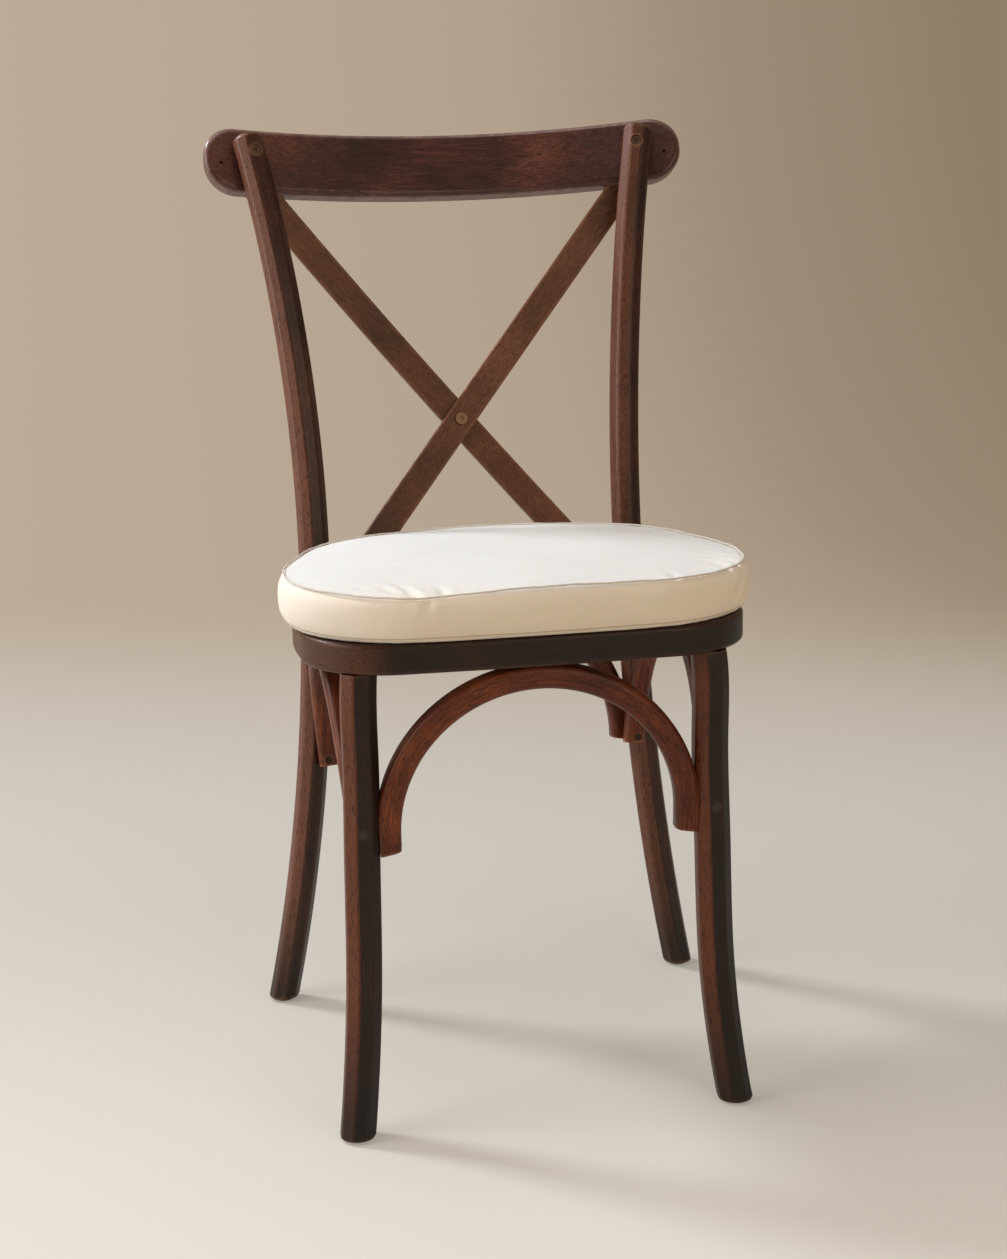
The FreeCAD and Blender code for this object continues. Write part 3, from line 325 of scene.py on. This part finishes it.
def board_edge(tree, normal):
    """Wear and painted highlight of an upright board, wherever its surface turns away from the front and
    back: most on the rounding, less on the top, as the product of one ramp that rises and one that falls."""
    facing = add_node(tree, "ShaderNodeSeparateXYZ", [("Vector", normal)]).outputs["Y"]
    level = work_out(tree, "ABSOLUTE", facing)
    rounding = ramp(tree, level, ROUNDING_START, ROUNDING_FULL, high=ROUNDING_WEAR_AND_HIGHLIGHT)
    top = ramp(tree, level, TOP_FULL, TOP_START, low=TOP_WEAR_AND_HIGHLIGHT)
    return work_out(tree, "MULTIPLY", rounding, top)


def stained_beech(name, along_grain, deep, middle, warm, left_lit=None, edge_wear_and_highlight=EDGE_WEAR_AND_HIGHLIGHT, board=False,
                  polish=0.1):
    """Walnut-stained beech in three tones, where the stain lies deep, even and thin, by the sum of streaks
    and mottle. along_grain adds the nodes that give a vector in metres whose Z runs along the grain, and
    returns its socket. polish is the weight of the clear coat. left_lit, where given, is a tone painted on
    faces that look left, as painted light, and then the wood also grows darker towards the floor. Edges are
    painted paler in the tone edge_wear_and_highlight, partly as wear and partly as painted highlight."""
    material, tree, surface = new_material(name)
    coordinates = add_node(tree, "ShaderNodeTexCoord").outputs
    place = coordinates["Object"]
    grain_place = along_grain(tree, place)
    streaks = long_noise(tree, grain_place, GRAIN_WIDTH_MM, GRAIN_LENGTH_MM, Detail=3.0, Roughness=0.6,
                         Distortion=0.4)
    pores = long_noise(tree, grain_place, PORE_WIDTH_MM, PORE_LENGTH_MM, Detail=1.0)
    mottle = noise(tree, place, Scale=1000 / MOTTLE_MM, Detail=3.0)
    thinness = work_out(tree, "ADD", streaks, mottle)
    stain = tone_ramp(tree, ramp(tree, thinness, STAIN_DEEP, STAIN_THIN),
                      ((0.0, deep), (0.5, middle), (1.0, warm)))
    if left_lit:
        stain = painted_left_light_and_foot_darkening(tree, coordinates, stain, thinness, left_lit)
    pored = colour_mix(tree, ramp(tree, pores, PORE_BOTTOM, PORE_RIM), deep, stain)
    edge = board_edge(tree, coordinates["Normal"]) if board else bar_edge(tree)
    rub = noise(tree, place, Scale=RUBS_PER_METRE, Detail=4.0, Roughness=0.7)
    # Edges are painted paler: partly wear, partly painted highlight.
    wear_and_highlight = work_out(tree, "MULTIPLY", edge, ramp(tree, rub, RUB_NONE, RUB_FULL))
    gloss = ramp(tree, streaks, 0.0, 1.0, GLOSSIEST, DULLEST)
    relief = add_node(tree, "ShaderNodeBump", [("Height", streaks)], Strength=0.12, Distance=GRAIN_RELIEF)
    lacquer = add_node(tree, "ShaderNodeBsdfPrincipled",
                       [("Base Color", colour_mix(tree, wear_and_highlight, pored, edge_wear_and_highlight)), ("Roughness", gloss),
                        ("Normal", relief.outputs["Normal"])],
                       IOR=1.5, Specular_IOR_Level=0.24, Coat_Weight=polish, Coat_Roughness=0.2)
    tree.links.new(lacquer.outputs["BSDF"], surface)
    return material


def upright(tree, place):
    """Grain that stands up, as in the legs: Object coordinates as they are."""
    return place


def finish_with(material, *names):
    """Gives the CAD nodes this material in place of their plain one."""
    for name in names:
        mesh = nodes[name].data
        mesh.materials.clear()
        mesh.materials.append(material)


# The legs' tones are painted darker than the posts', as painted shade on their front faces.
leg_beech_painted_shade = stained_beech("walnut_stained_beech_legs_painted_shade", upright, "#0e0805", "#1f120c", "#371f14",
                          left_lit="#693820", edge_wear_and_highlight="#5f3d2a")
finish_with(leg_beech_painted_shade, "front_leg_left", "front_leg_right")
post_beech = stained_beech("walnut_stained_beech_posts", upright, "#170b07", "#361c11", "#5e321c",
                           left_lit="#724735", polish=0.2)
finish_with(post_beech, "rear_leg_left", "rear_leg_right")

# The hoop of the seat: one bar of beech, bent into a ring, with the grain all the way round. Legs, posts and
# arches are fixed to it, and its inner edge is rebated for the seat board.
HOOP_RADIUS = 0.18


def bent_grain(centre, axis, radius):
    """Grain round a bend about axis X, Y or Z through centre: Z is the arc length at radius, X the distance
    from the axis and Y the place along it."""
    ways = {"X": ("Y", "Z"), "Y": ("X", "Z"), "Z": ("X", "Y")}[axis]

    def along(tree, place):
        shift = add_node(tree, "ShaderNodeVectorMath", [(0, place)], operation="SUBTRACT")
        shift.inputs[1].default_value = centre
        parts = add_node(tree, "ShaderNodeSeparateXYZ", [("Vector", shift.outputs[0])]).outputs
        first, second = parts[ways[0]], parts[ways[1]]
        arc = work_out(tree, "MULTIPLY", work_out(tree, "ARCTAN2", second, first), radius)
        squares = work_out(tree, "MULTIPLY_ADD", second, second, work_out(tree, "MULTIPLY", first, first))
        reach = work_out(tree, "SQRT", squares)
        return add_node(tree, "ShaderNodeCombineXYZ",
                        [("X", reach), ("Y", parts[axis]), ("Z", arc)]).outputs[0]
    return along


low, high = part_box("seat_ring")
# The hoop's tones are painted darker than the posts', as painted shade below the cushion's edge.
hoop_beech_painted_shade = stained_beech("walnut_stained_beech_hoop_painted_shade", bent_grain((low + high) / 2, "Z", HOOP_RADIUS),
                           "#0f0805", "#1e120c", "#352016", left_lit="#563320", edge_wear_and_highlight="#6b4630")
finish_with(hoop_beech_painted_shade, "seat_ring")

# Four arches under the seat: square bars of beech bent in a half circle, with the grain round the bend. They
# brace legs and posts against the hoop, with a screw at each foot and one up through the crown.
# The arches' tones are painted lighter and redder than the legs', as painted light.
for name, axis in (("front_arch", "Y"), ("back_arch", "Y"), ("left_arch", "X"), ("right_arch", "X")):
    low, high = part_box(name)
    centre = (low + high) / 2
    radius = max(high.x - low.x, high.y - low.y) / 2
    centre.z = high.z - radius
    finish_with(stained_beech("walnut_stained_beech_" + name, bent_grain(centre, axis, radius), "#2b1008",
                              "#632d17", "#97502b"), name)


# Crest rail: a wide board of beech with round ends, bent to the back of the sitter, with the grain across the
# chair. It is bolted to the posts. Its tones are painted lighter than the legs', as painted light, and its
# rounding and round ends are painted paler, partly as wear from hands that pull the chair and partly as a
# painted highlight.
def turned_grain(rotation):
    """Grain along a straight line: Object coordinates turned so that the line becomes Z."""
    def along(tree, place):
        return add_node(tree, "ShaderNodeMapping", [("Vector", place)], vector_type="TEXTURE",
                        Rotation=rotation).outputs[0]
    return along


crest_beech_painted_light = stained_beech("walnut_stained_beech_crest_painted_light", turned_grain((0, math.pi / 2, 0)), "#200f0b",
                            "#48261e", "#774433", edge_wear_and_highlight="#a3867a", board=True, polish=0.4)
finish_with(crest_beech_painted_light, "crest_rail")

# The two crossed slats: thin bent strips of beech, with the grain along each. They are housed in the crest
# and in the hoop, and bolted together where they cross.
# The slats' tones are painted lighter than the legs', as painted light.
for name, way in (("cross_slat_front", 1), ("cross_slat_back", -1)):
    low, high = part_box(name)
    lean = math.atan2(high.x - low.x, high.z - low.z)
    finish_with(stained_beech("walnut_stained_beech_" + name, turned_grain((0, way * lean, 0)), "#33190e",
                              "#5f3823", "#7f5239"), name)


# Bolts, nut, threaded inserts and the screws of the slats: steel with an antique bronze plating gone dull.
# The bolts hold the crest, the posts and the crossing.
def speckled(name, per_metre, detail, dark, light, roughness, dullest=None, **settings):
    """Material whose tone runs from dark to light with a fine noise of so many spots in a metre. Where
    dullest is given, the roughness runs up to it in the same way."""
    material, tree, surface = new_material(name)
    place = add_node(tree, "ShaderNodeTexCoord").outputs["Object"]
    spots = noise(tree, place, Scale=per_metre, Detail=detail)
    skin = add_node(tree, "ShaderNodeBsdfPrincipled", [("Base Color", colour_mix(tree, spots, dark, light))],
                    Roughness=roughness, **settings)
    if dullest is not None:
        tree.links.new(ramp(tree, spots, 0.0, 1.0, roughness, dullest), skin.inputs["Roughness"])
    tree.links.new(skin.outputs["BSDF"], surface)
    return material


bronzed = speckled("bronze_plated_steel", 400.0, 4.0, "#4a3b30", "#8f7862", 0.3, dullest=0.55, Metallic=1.0)
finish_with(bronzed, "cross_bolt", "cross_nut", "crest_bolts", "crest_inserts", "seat_bolts", "seat_inserts",
            "slat_screws")

# Screws of the arches and pins of the crest: steel blackened in oil, with a little shine left. The screws
# hold the arches' feet and crowns, and the pins sit near the crest's ends.
blackened = speckled("oil_blackened_steel", 500.0, 3.0, "#1d1611", "#4b3b30", 0.32, Metallic=1.0)
finish_with(blackened, "arch_end_screws", "arch_top_screws", "crest_pins")

# The two screws that run through the front legs: steel, sprayed over with the stain of the wood once they
# were in, so that they hardly show.
sprayed = speckled("stain_sprayed_steel", 300.0, 3.0, "#180d08", "#2f1b12", 0.42)
finish_with(sprayed, "leg_screws")

# Seat board and dowels: a thin board of birch plywood in the hoop's rebate, and the dowels between the front
# legs and the hoop. Both are bare wood, never stained because they don't show.
VENEER_PER_METRE = (260.0, 12.0, 260.0)
bare, tree, surface = new_material("bare_birch_plywood")
place = add_node(tree, "ShaderNodeTexCoord").outputs["Object"]
long_place = add_node(tree, "ShaderNodeMapping", [("Vector", place)], Scale=VENEER_PER_METRE).outputs[0]
veneer = noise(tree, long_place, Scale=1.0, Detail=4.0)
plywood = add_node(tree, "ShaderNodeBsdfPrincipled",
                   [("Base Color", colour_mix(tree, veneer, "#b08a62", "#d0b08a"))], Roughness=0.62)
tree.links.new(plywood.outputs["BSDF"], surface)
finish_with(bare, "seat_panel", "front_leg_dowels")

# Glides: discs of moulded polyethylene, grey right through and scuffed by the floor. They are nailed under
# the four feet.
glide = speckled("grey_moulded_polyethylene", 700.0, 3.0, "#6d6a66", "#8d8a85", 0.55)
finish_with(glide, "glide_front_left", "glide_front_right", "glide_rear_left", "glide_rear_right")

# Loose cushion: foam in a sewn cover of off-white cotton duck, with an almost flat top panel and a soft
# boxing strip round the sides. A thin welt covers the upper seam. It lies loose on the hoop.
SEAT_SHIFT = -0.067
CUSHION_CORNERS = np.array([
    # half width, depth and rounding radius of the outline's corners, from the front round to the back
    (0.0, -0.186, 0.780), (0.1975, -0.1775, 0.112), (0.212, -0.040, 0.160),
    (0.162, 0.096, 0.124), (0.0, 0.153, 0.310),
    (-0.162, 0.096, 0.124), (-0.212, -0.040, 0.160), (-0.1975, -0.1775, 0.112)])
CORNER_POINTS = 60
CUSHION_HEART = np.array([0.0, SEAT_SHIFT - 0.015])
CUSHION_BASE = 0.4493
BOXING_HEIGHT = 0.0415
BOXING_BULGE = 0.0045
BULGE_POWER = 3
SEAM_INSET = 0.002
SEAM_HEIGHT = CUSHION_BASE + BOXING_HEIGHT
CROWN_RISE = 0.0055
CROWN_POWER = 6
COLUMNS = 300
BOTTOM_ROWS = 24
BOXING_ROWS = 16
CROWN_ROWS = 36
INNERMOST = 0.02
OUTERMOST = 0.985
FRONT_WAVES = (
    # height, place across and half width of the dip and of the rise in the front edge
    (-0.0035, -0.105, 0.055),
    (0.0015, 0.010, 0.060),
)
FRONT_LINE = -0.19
FRONT_FADE = 0.02


def cushion_loop(count):
    """Points of the cushion's outline at even steps round it, and their outward normals: a polygon whose
    corners are rounded by tangent arcs."""
    corner = CUSHION_CORNERS[:, :2] + (0, SEAT_SHIFT)
    radius = CUSHION_CORNERS[:, 2]
    before = corner - np.roll(corner, 1, axis=0)
    before /= np.linalg.norm(before, axis=1, keepdims=True)
    after = np.roll(before, -1, axis=0)
    start = np.arctan2(-before[:, 0], before[:, 1])
    sweep_angle = np.arctan2(before[:, 0] * after[:, 1] - before[:, 1] * after[:, 0], (before * after).sum(1))
    middle = start + sweep_angle / 2
    reach = (radius / np.cos(sweep_angle / 2))[:, None]
    centre = corner - np.stack([np.cos(middle), np.sin(middle)], 1) * reach
    angle = start[:, None] + sweep_angle[:, None] * np.linspace(0, 1, CORNER_POINTS)
    normal = np.stack([np.cos(angle), np.sin(angle)], -1)
    line = (centre[:, None] + normal * radius[:, None, None]).reshape(-1, 2)
    normal = normal.reshape(-1, 2)
    line = np.concatenate([line, line[:1]])
    normal = np.concatenate([normal, normal[:1]])
    run = np.concatenate([[0], np.cumsum(np.linalg.norm(np.diff(line, axis=0), axis=1))])
    steps = np.linspace(0, run[-1], count, endpoint=False)
    even = np.stack([np.interp(steps, run, line[:, axis]) for axis in (0, 1)], 1)
    facing = np.stack([np.interp(steps, run, normal[:, axis]) for axis in (0, 1)], 1)
    facing /= np.linalg.norm(facing, axis=1, keepdims=True)
    return even, facing


def settled(points):
    """The cushion's height as it lies: the front edge sinks left of the middle and stands up a little beside
    that, by bell curves that grow from nothing at the base and fade towards the back."""
    across = points[..., 0]
    sink = sum(height * np.exp(-((across - place) / width) ** 2) for height, place, width in FRONT_WAVES)
    front = 1 / (1 + np.exp((points[..., 1] - FRONT_LINE) / FRONT_FADE))
    share = np.clip((points[..., 2] - CUSHION_BASE) / BOXING_HEIGHT, 0, 1)
    lowered = points.copy()
    lowered[..., 2] += sink * front * share
    return lowered


def cushion_rows():
    """The closed cover: rings that run out along the flat bottom, up the boxing, which is fullest half way
    and drawn in at both seams, and in over the crown, whose height is one minus a power of the distance
    from the middle."""
    loop, facing = cushion_loop(COLUMNS)
    seam = loop - facing * SEAM_INSET
    out = np.linspace(INNERMOST, OUTERMOST, BOTTOM_ROWS)[:, None, None]
    base = np.full((BOTTOM_ROWS, COLUMNS, 1), CUSHION_BASE)
    bottom = np.concatenate([CUSHION_HEART + (seam - CUSHION_HEART) * out, base], -1)
    level = ((1 - np.cos(np.linspace(0, np.pi, BOXING_ROWS))) / 2)[:, None, None]
    swell = (SEAM_INSET + BOXING_BULGE) * (1 - np.abs(2 * level - 1) ** BULGE_POWER)
    climb = CUSHION_BASE + BOXING_HEIGHT * level + np.zeros((BOXING_ROWS, COLUMNS, 1))
    sides = np.concatenate([seam + facing * swell, climb], -1)
    inward = np.linspace(OUTERMOST, INNERMOST, CROWN_ROWS)[:, None, None]
    height = SEAM_HEIGHT + CROWN_RISE * (1 - inward ** CROWN_POWER) + np.zeros((CROWN_ROWS, COLUMNS, 1))
    crown = np.concatenate([CUSHION_HEART + (seam - CUSHION_HEART) * inward, height], -1)
    return settled(np.concatenate([bottom, sides, crown]))


cushion = grid_piece("seat_cushion", cushion_rows(), closed_u=True)
form = bmesh.new()
form.from_mesh(cushion.data)
bmesh.ops.holes_fill(form, edges=[edge for edge in form.edges if edge.is_boundary])
bmesh.ops.recalc_face_normals(form, faces=form.faces)
form.to_mesh(cushion.data)
form.free()


CREASES = (
    # place of the crease's middle, its heading in degrees from +X, half length, half width and depth
    (-0.108, -0.232, 112, 0.020, 0.0042, 0.0042),
    (-0.124, -0.222, 128, 0.018, 0.0040, 0.0038),
    (-0.141, -0.214, 142, 0.015, 0.0038, 0.0030),
    (-0.082, -0.236, 98, 0.013, 0.0038, 0.0024),
    (0.178, -0.212, 128, 0.018, 0.0042, 0.0044),
    (0.184, -0.188, 140, 0.018, 0.0042, 0.0046),
    (0.182, -0.160, 150, 0.014, 0.0040, 0.0036),
    (0.120, -0.236, 100, 0.012, 0.0038, 0.0020),
)
CREASE_START = 0.006
CREASE_FULL = 0.005
TUCKS = (
    # place on the boxing, lean in degrees from upright, half height, half width and depth
    (-0.102, -0.259, 0.484, 8, 0.008, 0.0040, 0.0026),
    (0.195, -0.222, 0.470, 50, 0.014, 0.0040, 0.0028),
    (0.203, -0.205, 0.462, 65, 0.014, 0.0040, 0.0022),
)
TUCK_REACH = 0.03


def furrow(across, along, width, reach):
    """A furrow of depth one that fades along its length, with a small ridge on either side."""
    return (1 - (across / width) ** 2) * np.exp(-(across / width) ** 2 / 2 - (along / reach) ** 2)


def creased(points):
    """The cover with its creases pressed down into the top panel, from CREASE_START below the seam and fully
    CREASE_FULL above that, and its tucks pressed into the boxing."""
    points = points.astype(np.float64)
    on_top = np.clip((points[:, 2] - SEAM_HEIGHT + CREASE_START) / CREASE_FULL, 0, 1)
    for x, y, heading, reach, width, depth in CREASES:
        run = np.array([math.cos(math.radians(heading)), math.sin(math.radians(heading))])
        offset = points[:, :2] - (x, y)
        along = offset @ run
        across = offset @ (-run[1], run[0])
        points[:, 2] -= depth * on_top * furrow(across, along, width, reach)
    for x, y, z, lean, reach, width, depth in TUCKS:
        outward = np.array([x, y]) - CUSHION_HEART
        outward /= np.linalg.norm(outward)
        offset = points - (x, y, z)
        sideways = offset[:, :2] @ (-outward[1], outward[0])
        turned = math.radians(lean)
        along = offset[:, 2] * math.cos(turned) + sideways * math.sin(turned)
        across = sideways * math.cos(turned) - offset[:, 2] * math.sin(turned)
        near = np.exp(-(offset[:, :2] @ outward / TUCK_REACH) ** 2)
        press = depth * near * furrow(across, along, width, reach)
        points[:, :2] -= press[:, None] * outward
    return points


CLOTH_STEP = 0.0045
CLOTH_FRAMES = 20
SWELL_LIMIT = 0.003
SEAM_POINTS = 600
SEAM_BAND = 0.005
BASE_BAND = 0.0035
BATCHES = 24


def blow_up(piece, cap):
    """Remeshes the cover evenly and lets cloth with inner pressure swell between its seams, no point further
    than cap from where it was. The flat underside and the upper seam are held."""
    remesh = piece.modifiers.new("even_cloth", "REMESH")
    remesh.mode = "VOXEL"
    remesh.voxel_size = CLOTH_STEP
    bpy.context.view_layer.objects.active = piece
    bpy.ops.object.modifier_apply(modifier=remesh.name)
    count = len(piece.data.vertices)
    rest = np.empty(count * 3, np.float32)
    piece.data.vertices.foreach_get("co", rest)
    rest = rest.reshape(-1, 3)
    loop, facing = cushion_loop(SEAM_POINTS)
    to_seam = np.empty(count)
    for part in np.array_split(np.arange(count), BATCHES):
        gap = rest[part, None, :2] - (loop - facing * SEAM_INSET)[None]
        to_seam[part] = np.linalg.norm(gap, axis=2).min(1)
    at_seam = (to_seam < SEAM_BAND) & (np.abs(rest[:, 2] - SEAM_HEIGHT) < SEAM_BAND)
    at_base = rest[:, 2] < CUSHION_BASE + BASE_BAND
    held = piece.vertex_groups.new(name="held")
    held.add(np.where(at_seam | at_base)[0].tolist(), 1.0, "REPLACE")
    cloth = piece.modifiers.new("cover", "CLOTH")
    cloth.settings.quality = 6
    cloth.settings.mass = 0.25
    cloth.settings.tension_stiffness = 20
    cloth.settings.compression_stiffness = 20
    cloth.settings.shear_stiffness = 8
    cloth.settings.bending_stiffness = 0.6
    cloth.settings.use_pressure = True
    cloth.settings.uniform_pressure_force = 4.0
    cloth.settings.shrink_min = 0.0
    cloth.settings.vertex_group_mass = "held"
    cloth.settings.effector_weights.gravity = 0
    cloth.point_cache.frame_start = 1
    cloth.point_cache.frame_end = CLOTH_FRAMES
    scene = bpy.context.scene
    for moment in range(1, CLOTH_FRAMES + 1):
        scene.frame_set(moment)
    swollen = piece.evaluated_get(bpy.context.evaluated_depsgraph_get()).to_mesh()
    moved = np.empty(count * 3, np.float32)
    swollen.vertices.foreach_get("co", moved)
    piece.evaluated_get(bpy.context.evaluated_depsgraph_get()).to_mesh_clear()
    piece.modifiers.remove(cloth)
    scene.frame_set(1)
    shift = moved.reshape(-1, 3) - rest
    length = np.linalg.norm(shift, axis=1, keepdims=True)
    shift *= np.minimum(1, cap / np.maximum(length, 1e-9))
    piece.data.vertices.foreach_set("co", creased(rest + shift).astype(np.float32).ravel())
    piece.data.polygons.foreach_set("use_smooth", np.ones(len(piece.data.polygons), bool))
    piece.data.update()


blow_up(cushion, SWELL_LIMIT)
finer = cushion.modifiers.new("finer", "SUBSURF")
finer.levels = finer.render_levels = 1

# The cover's cloth: cotton duck, a plain weave of thick yarn, matte with a faint nap, through which light
# reaches the foam. The boxing is painted creamier than the top, as painted warm shade and bounce light, and
# stitches darken its lower edge. Threads are drawn 1.6 mm apart, coarser than the real 0.7 mm, so that they
# still show at the size of the picture.
DUCK_LIGHT = "#f3f4f1"
DUCK_SHADE = "#eaebe7"
DUCK_STRIP_PAINTED_WARM_SHADE = "#f5ecdc"
STRIP_START = SEAM_HEIGHT + 0.001
STRIP_FULL = SEAM_HEIGHT - 0.004
SEAM_SHADE = "#b3a084"
LOWER_SEAM = 0.0045
STITCH_EDGE = 0.0009
STITCH_CORE = 0.0003
STITCH_SHARE = 0.6
THREAD_MM = 1.6
THREAD_RELIEF = 0.0003
# At this scale a wave has one band in each unit of length.
ONE_BAND = 0.314
SLUBS_PER_METRE = 35.0
duck, tree, surface = new_material("off_white_cotton_duck")
place = add_node(tree, "ShaderNodeTexCoord").outputs["Object"]
threads = add_node(tree, "ShaderNodeMapping", [("Vector", place)], Scale=(1000 / THREAD_MM,) * 3).outputs[0]
warp, weft = (add_node(tree, "ShaderNodeTexWave", [("Vector", threads)], bands_direction=way, Scale=ONE_BAND,
                       Distortion=0.6, Detail=1.0).outputs["Fac"] for way in "XY")
weave = work_out(tree, "MULTIPLY", warp, weft)
slub = noise(tree, place, Scale=SLUBS_PER_METRE, Detail=4.0)
height = add_node(tree, "ShaderNodeSeparateXYZ", [("Vector", place)]).outputs["Z"]
# Painted warm shade: the boxing below the seam is painted creamier than the top.
side = ramp(tree, height, STRIP_START, STRIP_FULL)
plain = colour_mix(tree, side, colour_mix(tree, slub, DUCK_SHADE, DUCK_LIGHT), DUCK_STRIP_PAINTED_WARM_SHADE)
from_seam = work_out(tree, "ABSOLUTE", work_out(tree, "SUBTRACT", height, CUSHION_BASE + LOWER_SEAM))
stitched = ramp(tree, from_seam, STITCH_EDGE, STITCH_CORE, high=STITCH_SHARE)
nap = add_node(tree, "ShaderNodeBump", [("Height", weave)], Strength=0.25, Distance=THREAD_RELIEF)
cotton = add_node(tree, "ShaderNodeBsdfPrincipled",
                  [("Base Color", colour_mix(tree, stitched, plain, SEAM_SHADE)),
                   ("Normal", nap.outputs["Normal"])],
                  Roughness=0.85, Subsurface_Weight=0.3, Subsurface_Radius=(1.0, 0.62, 0.38),
                  Subsurface_Scale=0.003, Sheen_Weight=0.15, Specular_IOR_Level=0.25)
tree.links.new(cotton.outputs["BSDF"], surface)
cushion.data.materials.append(duck)
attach(cushion, "cushion")
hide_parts("cushion_foam", "cushion_top_panel", "cushion_boxing", "cushion_bottom_panel")

# Welt: a thin cord in a fold of the same cloth, sewn into the upper seam all the way round, and painted
# greyer than the cloth, as painted shade along the seam. It wavers a little with the stitches.
WELT_RADIUS = 0.0009
WELT_PROUD = 0.0006
WELT_COLUMNS = 480
WELT_SIDES = 12
WELT_WAVES = (
    # height, number of waves round the cushion and phase
    (0.0002, 23, 0.4),
    (0.0001, 61, 0.8),
)
STITCHES = 97
STITCH_SWELL = 0.05


def welt_rows():
    """A round cord carried along the seam, whose height and thickness waver with a few sine waves."""
    loop, facing = cushion_loop(WELT_COLUMNS)
    turn_about = np.linspace(0, 2 * np.pi, WELT_SIDES, endpoint=False)
    along = np.arange(WELT_COLUMNS) / WELT_COLUMNS * 2 * np.pi
    waver = sum(height * np.sin(count * along + phase) for height, count, phase in WELT_WAVES)
    radius = WELT_RADIUS * (1 + STITCH_SWELL * np.sin(STITCHES * along))
    out = radius[:, None] * np.cos(turn_about) - SEAM_INSET + WELT_PROUD
    rise = SEAM_HEIGHT + WELT_PROUD + waver[:, None] + radius[:, None] * np.sin(turn_about)
    level = loop[:, None] + facing[:, None] * out[..., None]
    return settled(np.concatenate([level, rise[..., None]], -1)).transpose(1, 0, 2)


rows = welt_rows()
welt = grid_piece("cushion_welt_cord", np.concatenate([rows, rows[:1]]), closed_u=True)
form = bmesh.new()
form.from_mesh(welt.data)
bmesh.ops.remove_doubles(form, verts=form.verts, dist=1e-6)
bmesh.ops.recalc_face_normals(form, faces=form.faces)
form.to_mesh(welt.data)
form.free()
# The cord's grey tones are painted shade along the seam.
welt.data.materials.append(speckled("cotton_cord_painted_seam_shade", 600.0, 2.0, "#cfc8bd", "#e4dfd6", 0.9))
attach(welt, "cushion")
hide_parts("cushion_welt")
